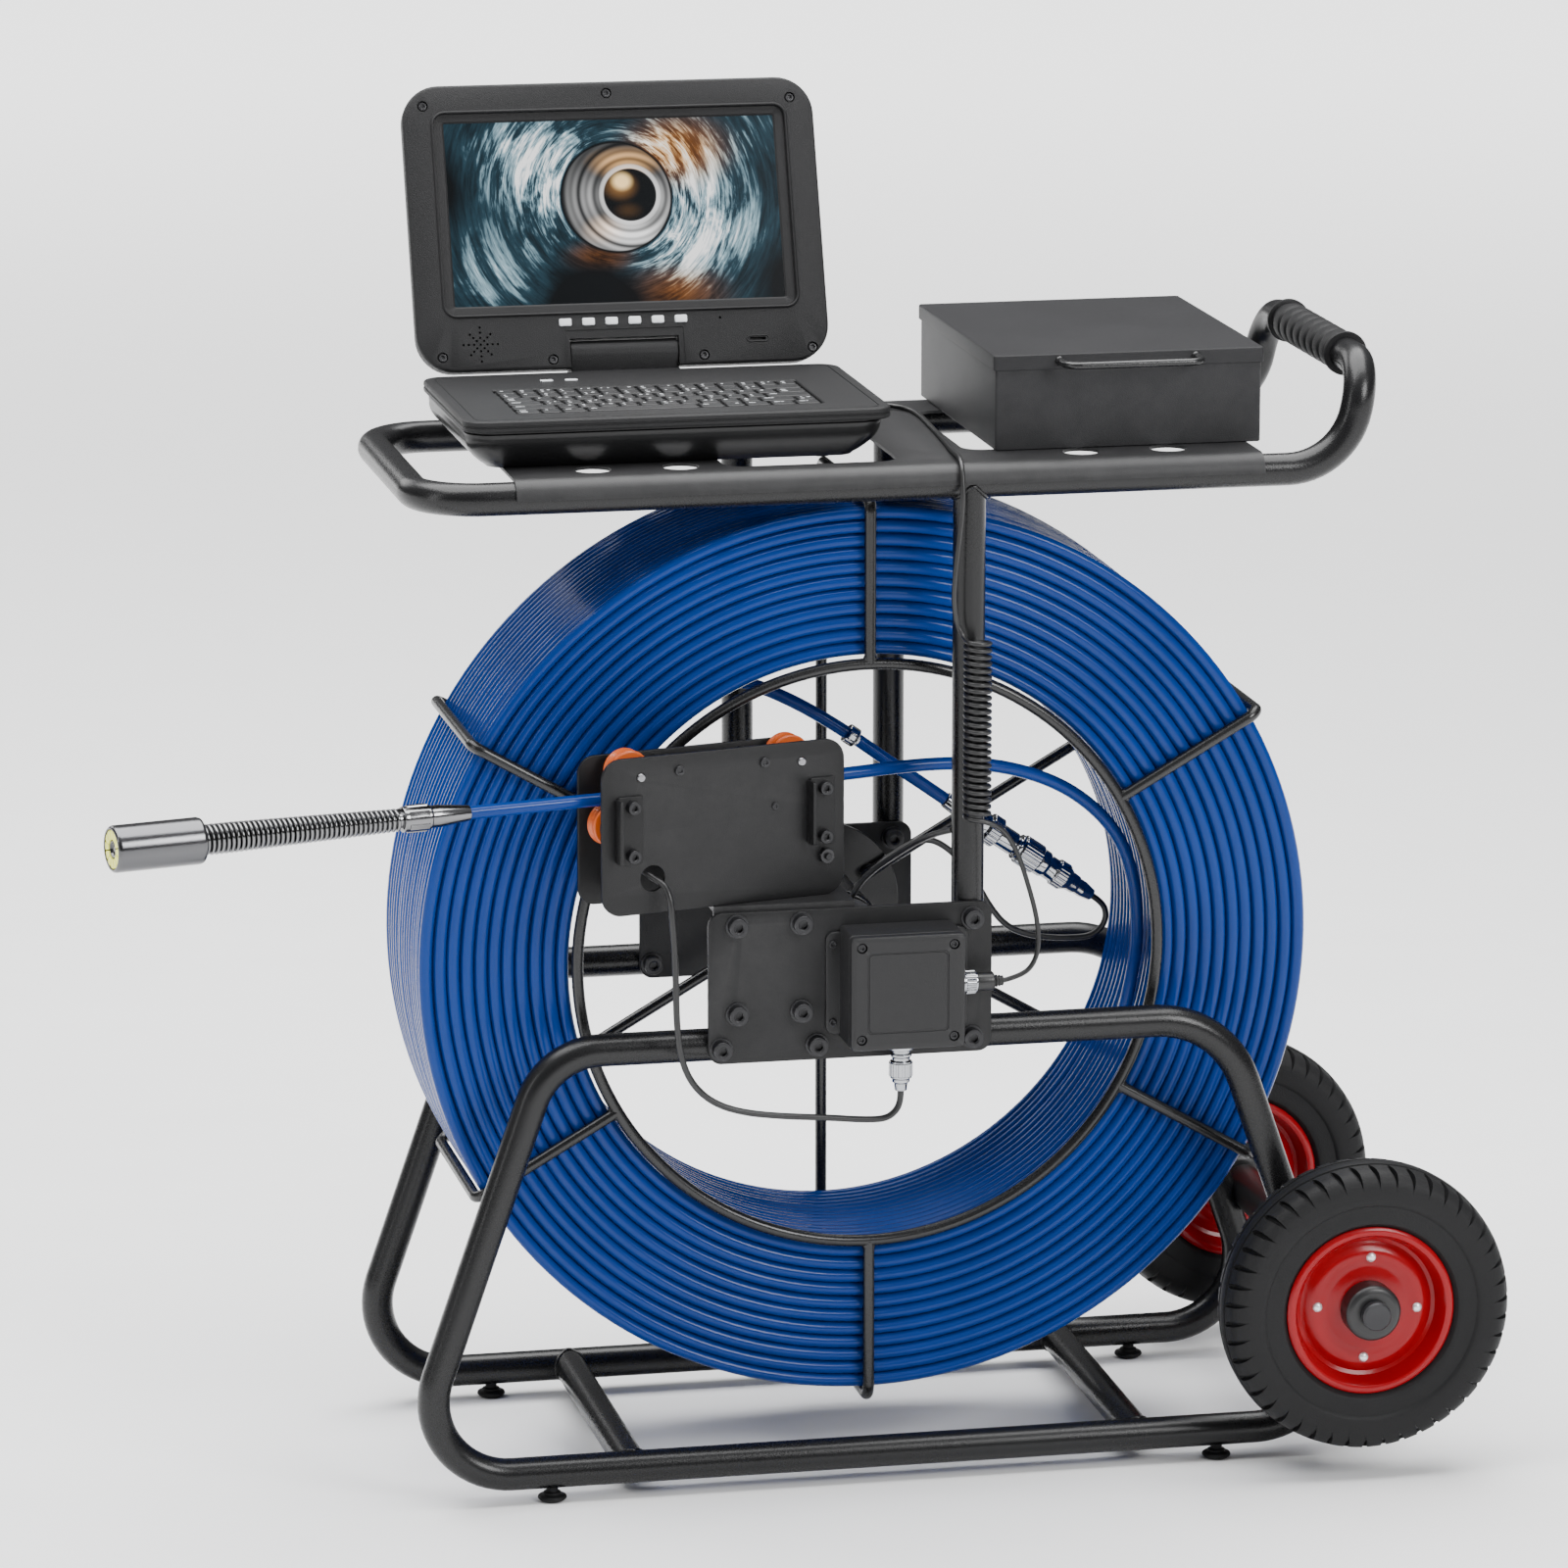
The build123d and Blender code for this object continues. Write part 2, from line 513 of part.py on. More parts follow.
ENCODER_ROUTE = [
    guide_point(-70, 9) + (455,), guide_point(-67, 9.5) + (446,), guide_point(-62, 7) + (438,),
    guide_point(-57, 0) + (433.5,), guide_point(-52, -9) + (430,), guide_point(-50, -14.5) + (420.8,),
    (-154.6, -155, 408), (-153.2, -155, 390),
    (-152.5, -156, 366), (-152, -156, 335), (-149, -156, 311), (-141, -155, 293), (-127, -155, 280),
    (-107, -155, 272.5), (-80, -155, 268.5), (-50, -155, 266), (-26, -155, 263.2),
    (-10.4, -155, 262.7), (-3.2, -155, 266.8), (0.9, -155, 274), (0.9, -155, 282.3),
]
LEAD_TOP_ROUTE = [
    (-2.3, 70, 716), (7, 73, 715), (18, 78, 713), (30, 84, 708.6), (42, 90, 704.5), (52, 88, 703.4),
    (58, 78, 703.3), (60, 60, 703.3),
    (59, 34, 703.3), (57, 4, 703.3), (55, -28, 703.3), (52, -62, 703.3), (49, -94, 703.6), (47, -120, 705.5),
    (46, -134, 701), (45.5, -139, 688), (44.5, -140, 668), (41.5, -141, 645), (39, -142, 622),
    (42, -143, 604),
    (49, -144.5, 596), (54.3, -146, 590.5),
]
LEAD_LOW_ROUTE = [
    (56, -146, 459.2), (64.5, -147, 457.2), (74, -149, 450.4), (82.5, -151, 436.5), (89, -152, 417),
    (94, -153, 398), (96, -154, 380), (93, -155, 366), (84.5, -155, 357), (71.2, -155, 354.3),
]
LEAD_R, SIGNAL_R, ENCODER_R = 1.7, 2.2, 2.2
CURL_R, CURL_Z0, CURL_Z1 = 10.0, 461.5, 588.5


def tail_connector():
    """Two halves of a round screw connector between the push cable's tail and the slip ring lead."""
    start, end = Vector(74, 30, 437.4), Vector(178.5, 30, 364.3)
    length = (end - start).length
    outline = [(0, 0), (5.5, 0), (6.5, 12), (9, 16), (9, 34), (11, 36), (11, 44), (8.5, 46),
               (8.5, 60), (11, 62),
               (11, 84), (9.5, 88), (9.5, 106), (7, 110), (7, length - 6), (5, length), (0, length)]
    spun = revolve(make_face(Plane.XZ * Polyline(*outline, close=True)), Axis.Z)
    return Plane(origin=start, z_dir=end - start) * spun


def counter_plugs():
    """The encoder plug under the counter box and the lead plug on its right side."""
    x, y, z = 0.9, -155.0, COUNTER_Z - COUNTER_W / 2
    down = revolve(make_face(Plane.XZ * Polyline(
        (0, 0), (8.5, 0), (8.5, -5), (6.5, -6), (6.5, -11), (8, -12), (8, -24), (6, -27), (4, -33), (0, -33),
        close=True)), Axis.Z)
    right = revolve(make_face(Plane.XZ * Polyline(
        (0, 0), (8.5, 0), (8.5, 6), (6.5, 7), (6.5, 19), (5, 20), (3, 30), (0, 30), close=True)), Axis.Z)
    side = COUNTER_X + COUNTER_W / 2
    return [Pos(x, y, z) * down, Pos(side, y, 354.3) * Rot(0, 90, 0) * right]


# ---------------------------------------------------------------- monitor

def monitor_tub():
    """Lower body, which tapers down to the tray."""
    low = Plane.XY.offset(TRAY_TOP) * Pos(-139, 1) * RectangleRounded(250, 166, 12)
    high = Plane.XY.offset(DECK_TOP - DECK_T) * Pos(-137, -2.5) * RectangleRounded(281, 179, 16)
    return loft([low, high])


def monitor_deck():
    """Keyboard deck with its key well, and the hinge knuckle at the back."""
    low, mid = DECK_TOP - DECK_T, SCREEN_X
    deck = slab(DECK_X0, DECK_X1, DECK_Y0, DECK_Y1, 15, low, DECK_TOP)
    deck -= block(KEYS_X0, KEYS_X1, KEYS_Y0, KEYS_Y1, DECK_TOP - 5, DECK_TOP + 1)
    half = HINGE_W / 2 - 0.5
    neck = block(mid - half, mid + half, HINGE_Y - HINGE_R, HINGE_Y + HINGE_R, low, HINGE_Z)
    neck += block(mid - half, mid + half, DECK_Y1 - 6, HINGE_Y, low, DECK_TOP)
    knuckle = along("X", mid - half, mid + half, HINGE_R, HINGE_Y, HINGE_Z)
    deck += neck + knuckle
    return deck - along("X", mid - half, mid + half, 2, HINGE_Y, HINGE_Z)


def keyboard_keys():
    """A rubber mat with one block for each key."""
    gap, floor = 0.5, DECK_TOP - 5 + KEY_TRAVEL + 0.3
    x0, x1, y0, y1 = KEYS_X0 + gap, KEYS_X1 - gap, KEYS_Y0 + gap, KEYS_Y1 - gap
    mat = block(x0, x1, y0, y1, floor, floor + 1)
    pitch_x, pitch_y = (x1 - x0) / KEY_COLUMNS, (y1 - y0) / KEY_ROWS
    for row in range(KEY_ROWS):
        for column in range(KEY_COLUMNS):
            x, y = x0 + column * pitch_x, y0 + row * pitch_y
            mat += block(x + 0.6, x + pitch_x - 0.6, y + 0.6, y + pitch_y - 0.6, floor + 1, DECK_TOP + 0.4)
    return mat


def on_screen(shape):
    """Places a shape drawn flat: local X across, Y up the screen from the hinge, Z out of its face."""
    return Pos(SCREEN_X, HINGE_Y, HINGE_Z) * Rot(90 - SCREEN_LEAN, 0, 0) * shape


FACE_Z = SCREEN_T / 2                 # the bezel's face, out from the hinge line
SCREEN_Y0 = -HINGE_DROP


def screen_outline(shrink, z0, z1, corner=26):
    middle = SCREEN_Y0 + SCREEN_H / 2
    outline = RectangleRounded(SCREEN_W - 2 * shrink, SCREEN_H - 2 * shrink, corner - shrink)
    return extrude(Plane.XY.offset(z0) * Pos(0, middle) * outline, z1 - z0)


def hinge_notch():
    """The gap for the deck's knuckle, which stays clear as the screen turns."""
    height = HINGE_R + 1.2
    return Pos(0, (height - 30) / 2, 0) * Box(HINGE_W, height + 30, SCREEN_T + 20)


def hinge_bores():
    return Rot(0, 90, 0) * Cylinder(2 + RUN_FIT, HINGE_W + 30)


def button_places():
    return [((i - 2.5) * BUTTON_PITCH, SCREEN_Y0 + BUTTON_UP) for i in range(6)]


def screen_bezel():
    z0, z1 = FACE_Z - BEZEL_T, FACE_Z
    view_y = SCREEN_Y0 + VIEW_LOW + VIEW_H / 2
    shell = screen_outline(0, z0, z1)
    recess = Plane.XY.offset(z1 - 2) * Pos(0, view_y) * RectangleRounded(VIEW_W + 15, VIEW_H + 13, 8)
    shell -= extrude(recess, 3)
    window = Plane.XY.offset(z0 - 1) * Pos(0, view_y) * RectangleRounded(VIEW_W, VIEW_H, 1)
    shell -= extrude(window, 10)
    pocket = Plane.XY.offset(z0 - 1) * Pos(0, view_y) * Rectangle(VIEW_W + 10, VIEW_H + 8)
    shell -= extrude(pocket, 3.5)
    for x, y in button_places():
        shell -= Pos(x, y, (z0 + z1) / 2) * Box(BUTTON_W + 0.6, BUTTON_H + 0.6, BEZEL_T + 2)
    return on_screen(shell - hinge_notch() - hinge_bores())


def screen_rear_cover():
    z1 = FACE_Z - BEZEL_T
    shell = screen_outline(0.4, -FACE_Z, z1)
    shell -= screen_outline(4, -FACE_Z + 3, z1 + 1) - Pos(0, -2) * Box(SCREEN_W, 28, 60)
    for x, y in button_places():
        shell -= Pos(x, y, z1 - 1.5) * Box(BUTTON_W + 2, BUTTON_H + 2, 8)
    return on_screen(shell - hinge_notch() - hinge_bores())


def display_panel():
    view_y = SCREEN_Y0 + VIEW_LOW + VIEW_H / 2
    z1 = FACE_Z - BEZEL_T + 2.5
    return on_screen(Pos(0, view_y, z1 - 2) * Box(VIEW_W + 9.4, VIEW_H + 7.4, 4))


def screen_button(x, y):
    cap = Pos(x, y, FACE_Z + 1 - 3) * Box(BUTTON_W, BUTTON_H, 6)
    return on_screen(fillet(cap.edges().filter_by(Axis.Z), 1.2))


def hinge_pin():
    return along("X", SCREEN_X - HINGE_W / 2 - 12, SCREEN_X + HINGE_W / 2 + 12, 2, HINGE_Y, HINGE_Z)


# ---------------------------------------------------------------- battery box

def box_body():
    outer = block(BOX_X0, BOX_X1, BOX_Y0, BOX_Y1, TRAY_TOP, BOX_TOP - 1.5)
    inner = block(BOX_X0 + BOX_WALL, BOX_X1 - BOX_WALL, BOX_Y0 + BOX_WALL, BOX_Y1 - BOX_WALL,
                  TRAY_TOP + BOX_WALL, BOX_TOP + 1)
    body = outer - inner
    for x in (110, 216):
        ear = block(x, x + 14, BOX_Y1, LID_PIN_Y, LID_PIN_Z - 9, LID_PIN_Z - 3)
        body += ear + along("X", x, x + 14, 3, LID_PIN_Y, LID_PIN_Z)
    return body - along("X", 90, 260, LID_PIN_R, LID_PIN_Y, LID_PIN_Z) - block(
        100, 240, BOX_Y1, BOX_Y1 + 2.4, LID_PIN_Z - 2.4, BOX_TOP)


def box_lid():
    gap, wall = LID_GAP, LID_WALL
    low, over = BOX_TOP - LID_SKIRT, gap + wall
    lid = block(BOX_X0 - over, BOX_X1 + over, BOX_Y0 - over, BOX_Y1 + over, low, BOX_TOP)
    lid -= block(BOX_X0 - gap, BOX_X1 + gap, BOX_Y0 - gap, BOX_Y1 + gap, low - 1, BOX_TOP - wall)
    for x in (94.6, 124.4, 200.6, 230.4):
        ear = block(x, x + 15, BOX_Y1 + over, LID_PIN_Y, LID_PIN_Z, LID_PIN_Z + 3)
        lid += ear + along("X", x, x + 15, 3, LID_PIN_Y, LID_PIN_Z)
    return lid - along("X", 90, 260, LID_PIN_R + RUN_FIT, LID_PIN_Y, LID_PIN_Z)


def lid_pins():
    return [along("X", x, x + 42, LID_PIN_R, LID_PIN_Y, LID_PIN_Z) for x in (96, 202)]


def lid_handle():
    """D-shaped rod welded to the lid's front skirt."""
    x0, x1, y0, y1, z = 123.5, 217.5, BOX_Y0 - LID_GAP - LID_WALL, BOX_Y0 - 25, BOX_TOP - 4.5
    path = FilletPolyline((x0, y0, z), (x0, y1, z), (x1, y1, z), (x1, y0, z), radius=10)
    return rod(path, 2.5)


def battery_pack():
    x0, y0, z0 = BOX_X0 + 14, BOX_Y0 + 30, TRAY_TOP + BOX_WALL
    return fillet(block(x0, x0 + 150, y0, y0 + 100, z0, z0 + 52).edges(), 3)


# ---------------------------------------------------------------- counter box

def counter_box():
    half, flange, z = COUNTER_W / 2, COUNTER_FLANGE / 2, COUNTER_Z
    y1, y0 = MID_FRONT_Y, COUNTER_FACE + COUNTER_COVER
    base = plate(COUNTER_X - flange, COUNTER_X + flange, z - half + 4, z + half - 4, 5, y1 - 3, y1)
    walls = plate(COUNTER_X - half, COUNTER_X + half, z - half, z + half, 3, y0, y1)
    inside = block(COUNTER_X - half + 3, COUNTER_X + half - 3, y0 - 1, y1 - 4, z - half + 3, z + half - 3)
    return base + walls - inside


def counter_cover():
    half, z = COUNTER_W / 2, COUNTER_Z
    cover = plate(COUNTER_X - half, COUNTER_X + half, z - half, z + half, 4, COUNTER_FACE,
                  COUNTER_FACE + COUNTER_COVER)
    cover = chamfer(cover.faces().sort_by(Axis.Y)[0].edges(), 1.2)
    wells = [(COUNTER_X + a * 31.5, z + b * 31.5) for a in (-1, 1) for b in (-1, 1)]
    return cover - [along("Y", COUNTER_FACE - 1, COUNTER_FACE + 3, 3.2, x, zz) for x, zz in wells]


# ---------------------------------------------------------------- write every node

def main():
    os.makedirs("parts", exist_ok=True)
    export("side_frames", *side_frames())
    export("cross_tubes", *cross_tubes())
    export("levelling_feet", *levelling_feet())
    export("posts", *posts())
    export("tray_loop", TRAY - tray_loop(TUBE_R - TUBE_WALL))
    export("tray_plate", tray_plate())
    export("handle_grip", handle_grip())
    export("mid_plates", *mid_plates())
    export("plate_fasteners", *plate_fasteners())
    export("wheel_axle", wheel_axle())
    for name, side in (("front", -1), ("back", 1)):
        export(f"tyre_{name}", tyre(side))
        export(f"rim_{name}", rim(side))
    export("reel_cage", reel_cage())
    export("cable_coil", cable_coil())
    export("reel_hub", reel_hub())
    export("reel_axle", reel_axle())
    export("slip_ring", slip_ring())
    export("guide_shelf", guide_shelf())
    export("guide_plates", *guide_plates())
    export("guide_fasteners", *guide_fasteners())
    for i, (s, z) in enumerate(ROLLERS):
        export(f"guide_roller_{i + 1}", guide_roller(s, z))
    export("encoder_housing", encoder_housing())
    export("head_body", head_body())
    export("camera_lens", camera_lens())
    export("head_spring", head_spring())
    export("cable_ferrule", cable_ferrule())
    export("push_cable", cable("push cable", PUSH_ROUTE, CABLE_R))
    export("tail_cable", cable("tail cable", TAIL_ROUTE, CABLE_R))
    export("signal_cable", cable("signal cable", SIGNAL_ROUTE, SIGNAL_R))
    export("stator_cable", cable("stator cable", STATOR_ROUTE, SIGNAL_R))
    export("encoder_cable", cable("encoder cable", ENCODER_ROUTE, ENCODER_R))
    export("monitor_lead", cable("lead above", LEAD_TOP_ROUTE, LEAD_R), cable("lead below",
           LEAD_LOW_ROUTE, LEAD_R))
    export("curly_lead", along("Z", CURL_Z0, CURL_Z1, CURL_R, POST_X + 0.5, -146))
    export("tail_connector", tail_connector())
    export("counter_plugs", *counter_plugs())
    export("monitor_tub", monitor_tub())
    export("monitor_deck", monitor_deck())
    export("keyboard_keys", keyboard_keys())
    export("screen_bezel", screen_bezel())
    export("screen_rear_cover", screen_rear_cover())
    export("display_panel", display_panel())
    for i, (x, y) in enumerate(button_places()):
        export(f"screen_button_{i + 1}", screen_button(x, y))
    export("hinge_pin", hinge_pin())
    export("box_body", box_body())
    export("box_lid", box_lid())
    export("lid_pins", *lid_pins())
    export("lid_handle", lid_handle())
    export("battery_pack", battery_pack())
    export("counter_box", counter_box())
    export("counter_cover", counter_cover())


main()
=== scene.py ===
"""The drain inspection camera's looks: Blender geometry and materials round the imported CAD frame.

Places are written in millimetres in the cart's own axes (X = 0 and Y = 0 in the middle of the four feet)
and P() turns them into metres in the row frame.
"""
import random
from math import atan2, cos, pi, radians, sin, sqrt, tan

import bmesh
import bpy
from mathutils import Matrix, Vector


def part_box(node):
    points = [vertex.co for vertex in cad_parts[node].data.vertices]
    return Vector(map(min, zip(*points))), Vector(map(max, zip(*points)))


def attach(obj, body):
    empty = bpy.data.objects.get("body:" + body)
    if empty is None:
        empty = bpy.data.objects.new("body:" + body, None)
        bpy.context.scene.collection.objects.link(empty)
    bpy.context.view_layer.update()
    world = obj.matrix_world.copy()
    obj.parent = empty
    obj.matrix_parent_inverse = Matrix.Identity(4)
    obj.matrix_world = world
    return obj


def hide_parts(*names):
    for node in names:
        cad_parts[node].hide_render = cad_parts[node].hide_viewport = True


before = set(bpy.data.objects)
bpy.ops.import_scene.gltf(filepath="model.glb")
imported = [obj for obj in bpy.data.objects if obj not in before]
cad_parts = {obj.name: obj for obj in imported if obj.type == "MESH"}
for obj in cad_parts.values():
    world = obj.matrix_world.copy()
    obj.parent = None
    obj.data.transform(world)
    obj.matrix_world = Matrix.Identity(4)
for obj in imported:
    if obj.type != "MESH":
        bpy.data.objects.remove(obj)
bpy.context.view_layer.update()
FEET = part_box("levelling_feet")
CART = Vector(((FEET[0].x + FEET[1].x) / 2, (FEET[0].y + FEET[1].y) / 2, 0))
MM = 0.001


def P(x, y, z):
    """Cart millimetres to row metres."""
    return Vector((x * MM, y * MM, z * MM)) + CART


# Main sizes, as in the CAD model
TUBE_R, BAR_R, LOOP_Y, LOOP_TOP, BAR_Z, TRAY_Z = 11.0, 10.9, 121.5, 311.8, 19.7, 688.4
HANDLE_X, HANDLE_Z = 326.0, 757.0
CABLE_R, SIGNAL_R, LEAD_R, CAGE_R = 4.5, 2.2, 1.7, 4.0
REEL_X, REEL_Z, COIL_IN, COIL_OUT, COIL_HALF = -3.5, 357.2, 205.5, 307.5, 73.0
WHEEL_X, WHEEL_Y, WHEEL_Z = 320.0, 172.5, 119.5
GUIDE_AT, GUIDE_YAW, CABLE_DEPTH, CABLE_Z = (-110.0, -128.0), radians(13.3), 24.0, 484.2
SCREEN_X, HINGE_Y, HINGE_Z, HINGE_DROP, LEAN = -137.5, 102.0, 746.0, 12.2, radians(20)
SCREEN_W, SCREEN_H, VIEW_W, VIEW_H, VIEW_LOW = 287.0, 199.5, 230.0, 127.6, 45.5


def G(s, depth, z):
    """A point given along the guide, behind its front face, and up."""
    c, d = cos(GUIDE_YAW), sin(GUIDE_YAW)
    return P(GUIDE_AT[0] + s * c - depth * d, GUIDE_AT[1] + s * d + depth * c, z)


def S(x, up, out):
    """A point on the screen: across from its middle, up from its bottom edge, out from the hinge plane."""
    y = up - HINGE_DROP
    return P(SCREEN_X + x, HINGE_Y + y * sin(LEAN) - out * cos(LEAN),
             HINGE_Z + y * cos(LEAN) + out * sin(LEAN))


# ---------------------------------------------------------------- camera

CAMERA_AT, CAMERA_AIM, LENS_MM = (-1097.8, -4980.3, 1601.2), (0.2016, 0.9548, -0.2187), 175.38


def add_camera():
    """The photo's viewpoint."""
    data = bpy.data.cameras.new("camera")
    data.sensor_width, data.lens = 36.0, LENS_MM
    data.clip_end = 100
    cam = bpy.data.objects.new("camera", data)
    bpy.context.scene.collection.objects.link(cam)
    cam.location = P(*CAMERA_AT)
    cam.rotation_euler = Vector(CAMERA_AIM).to_track_quat("-Z", "Y").to_euler()
    bpy.context.scene.camera = cam


add_camera()

# ---------------------------------------------------------------- materials


class Field:
    """A value in a node tree that takes + - * / and a few functions."""

    def __init__(self, tree, socket):
        self.tree, self.socket = tree, socket

    def op(self, kind, *others):
        node = self.tree.nodes.new("ShaderNodeMath")
        node.operation = kind
        self.tree.links.new(self.socket, node.inputs[0])
        for i, other in enumerate(others):
            if isinstance(other, Field):
                self.tree.links.new(other.socket, node.inputs[i + 1])
            else:
                node.inputs[i + 1].default_value = other
        return Field(self.tree, node.outputs[0])

    def __add__(self, other):
        return self.op("ADD", other)

    def __sub__(self, other):
        return self.op("SUBTRACT", other)

    def __mul__(self, other):
        return self.op("MULTIPLY", other)

    def __truediv__(self, other):
        return self.op("DIVIDE", other)

    def clamp(self, low, high):
        return self.op("MAXIMUM", low).op("MINIMUM", high)

    def step(self, start, end):
        """0 below start and 1 above end, smooth between."""
        node = self.tree.nodes.new("ShaderNodeMapRange")
        node.interpolation_type = "SMOOTHSTEP"
        self.tree.links.new(self.socket, node.inputs["Value"])
        node.inputs["From Min"].default_value, node.inputs["From Max"].default_value = start, end
        return Field(self.tree, node.outputs["Result"])


def coordinates(tree):
    """Object coordinates as a node output."""
    return tree.nodes.new("ShaderNodeTexCoord").outputs["Object"]


def noise(tree, vector, scale, detail=4.0, rough=0.55, distort=0.0):
    """A noise field over a vector."""
    node = tree.nodes.new("ShaderNodeTexNoise")
    node.inputs["Scale"].default_value = scale
    node.inputs["Detail"].default_value = detail
    node.inputs["Roughness"].default_value = rough
    node.inputs["Distortion"].default_value = distort
    tree.links.new(vector, node.inputs["Vector"])
    return Field(tree, node.outputs["Fac"])


def ramp(tree, field, stops):
    """A colour that follows a field through (place, colour) stops."""
    node = tree.nodes.new("ShaderNodeValToRGB")
    tree.links.new(field.socket, node.inputs["Fac"])
    band = node.color_ramp
    while len(band.elements) < len(stops):
        band.elements.new(0.5)
    for element, (place, colour) in zip(band.elements, stops):
        element.position, element.color = place, (*colour, 1)
    return node.outputs["Color"]


ROUGH_SPREAD = 0.08
WORN_CORNER = (0.53, 0.6)
BUMP_DEPTH = 0.0004


def finish(name, colour, rough, metal=0.0, grain=0.0, grain_scale=1200.0, patch=0.08, coat=0.0,
           specular=0.5, wear=0.0):
    """A procedural material: uneven colour and roughness, a fine bump, and lighter, worn edges."""
    mat = bpy.data.materials.new(name)
    mat.use_nodes = True
    tree = mat.node_tree
    shader = tree.nodes["Principled BSDF"]
    place = coordinates(tree)
    broad = noise(tree, place, 9.0, 3.0)
    fine = noise(tree, place, grain_scale, 2.0, 0.6)
    low = tuple(c * (1 - patch) for c in colour)
    high = tuple(min(1.0, c * (1 + patch)) for c in colour)
    paint = ramp(tree, broad, [(0.3, low), (0.7, high)])
    if wear:
        geometry = tree.nodes.new("ShaderNodeNewGeometry")
        corner = Field(tree, geometry.outputs["Pointiness"]).step(*WORN_CORNER)
        edge = corner * noise(tree, place, 60.0, 5.0, 0.7)
        mix = tree.nodes.new("ShaderNodeMixRGB")
        tree.links.new((edge * wear).clamp(0.0, 1.0).socket, mix.inputs["Fac"])
        tree.links.new(paint, mix.inputs[1])
        mix.inputs[2].default_value = (*(min(1.0, c * 3 + 0.05) for c in colour), 1)
        paint = mix.outputs["Color"]
    tree.links.new(paint, shader.inputs["Base Color"])
    mottled = (broad - 0.5) * ROUGH_SPREAD + (fine - 0.5) * ROUGH_SPREAD + rough
    tree.links.new(mottled.clamp(0.03, 1.0).socket, shader.inputs["Roughness"])
    shader.inputs["Metallic"].default_value = metal
    shader.inputs["Specular IOR Level"].default_value = specular
    shader.inputs["Coat Weight"].default_value = coat
    shader.inputs["Coat Roughness"].default_value = 0.12
    if grain:
        bump = tree.nodes.new("ShaderNodeBump")
        bump.inputs["Strength"].default_value = grain
        bump.inputs["Distance"].default_value = BUMP_DEPTH
        tree.links.new(fine.socket, bump.inputs["Height"])
        tree.links.new(bump.outputs["Normal"], shader.inputs["Normal"])
    return mat


TUBE_PAINT = finish("tube_paint", (0.006, 0.006, 0.0065), 0.28, grain=0.2, grain_scale=900, specular=0.36)
SHEET_PAINT = finish("sheet_paint", (0.008, 0.008, 0.0086), 0.42, grain=0.45, grain_scale=1500,
                     specular=0.28, wear=0.35)
BOX_PAINT = finish("box_paint", (0.019, 0.019, 0.0202), 0.46, grain=0.45, grain_scale=1800, specular=0.14,
                   wear=0.3)
WIRE_PAINT = finish("wire_paint", (0.006, 0.006, 0.0065), 0.27, grain=0.12, specular=0.5)
BOLT_BLACK = finish("bolt_black", (0.016, 0.016, 0.018), 0.34, metal=0.35, grain=0.2, wear=0.4)
GRIP_RUBBER = finish("grip_rubber", (0.007, 0.007, 0.0075), 0.55, grain=0.5, grain_scale=1400, specular=0.2)
TYRE_RUBBER = finish("tyre_rubber", (0.008, 0.008, 0.0085), 0.55, grain=0.6, grain_scale=700, patch=0.2,
                     specular=0.22)
RIM_RED = finish("rim_red", (0.26, 0.0012, 0.005), 0.2, grain=0.1, patch=0.06, specular=0.28)
STEEL = finish("steel", (0.25, 0.25, 0.26), 0.24, metal=1.0, grain=0.2, patch=0.05)
TURNED = finish("turned_steel", (0.115, 0.115, 0.12), 0.2, metal=1.0, grain=0.1, patch=0.04)
SPRING_STEEL = finish("spring_steel", (0.2, 0.2, 0.205), 0.15, metal=1.0, grain=0.05, patch=0.03)
CHROME = finish("chrome", (0.4, 0.41, 0.43), 0.1, metal=1.0, grain=0.05, patch=0.02)
RIVET = finish("rivet_zinc", (0.8, 0.8, 0.81), 0.3, metal=0.6, grain=0.1, patch=0.03)
CABLE_BLUE = finish("cable_blue", (0.0012, 0.03, 0.19), 0.2, grain=0.08, grain_scale=500, patch=0.1,
                    specular=0.22)
# painted shade: a deeper blue than the cable, for the shaded cable seen in the gaps between the turns
CABLE_PAINTED_SHADE = finish("cable_shadow", (0.001, 0.01, 0.055), 0.8, grain=0.2, specular=0.15)
LEAD_BLACK = finish("lead_black", (0.01, 0.01, 0.0105), 0.36, grain=0.2)
CASE_BLACK = finish("case_plastic", (0.0145, 0.0145, 0.0152), 0.48, grain=0.7, grain_scale=1700,
                    specular=0.2, wear=0.15)
TUB_BLACK = finish("tub_plastic", (0.006, 0.006, 0.0065), 0.3, grain=0.15, grain_scale=1200, specular=0.4)
KEY_RUBBER = finish("key_rubber", (0.012, 0.012, 0.013), 0.46, grain=0.4, grain_scale=2500, specular=0.4)
COUNTER_BLACK = finish("counter_plastic", (0.011, 0.011, 0.0118), 0.42, grain=0.5, grain_scale=1500,
                       wear=0.2, specular=0.36)
BUTTON_WHITE = finish("button_white", (0.72, 0.74, 0.76), 0.35, grain=0.1, patch=0.02)
ROLLER_ORANGE = finish("roller_orange", (0.62, 0.1, 0.008), 0.36, grain=0.2, coat=0.15)
SLIP_GREY = finish("slip_grey", (0.06, 0.06, 0.065), 0.4, grain=0.3)
PACK_GREY = finish("pack_sleeve", (0.04, 0.045, 0.07), 0.35, grain=0.2)
DARK_HOLE = finish("dark_recess", (0.003, 0.003, 0.003), 0.8, grain=0.1)
GLASS_BLACK = finish("lens_glass", (0.004, 0.004, 0.006), 0.06, coat=1.0, patch=0.01)
LAMP = finish("lamp", (0.6, 0.6, 0.1), 0.3, patch=0.05)
LAMP.node_tree.nodes["Principled BSDF"].inputs["Emission Color"].default_value = (0.9, 0.92, 0.12, 1)
LAMP.node_tree.nodes["Principled BSDF"].inputs["Emission Strength"].default_value = 0.6


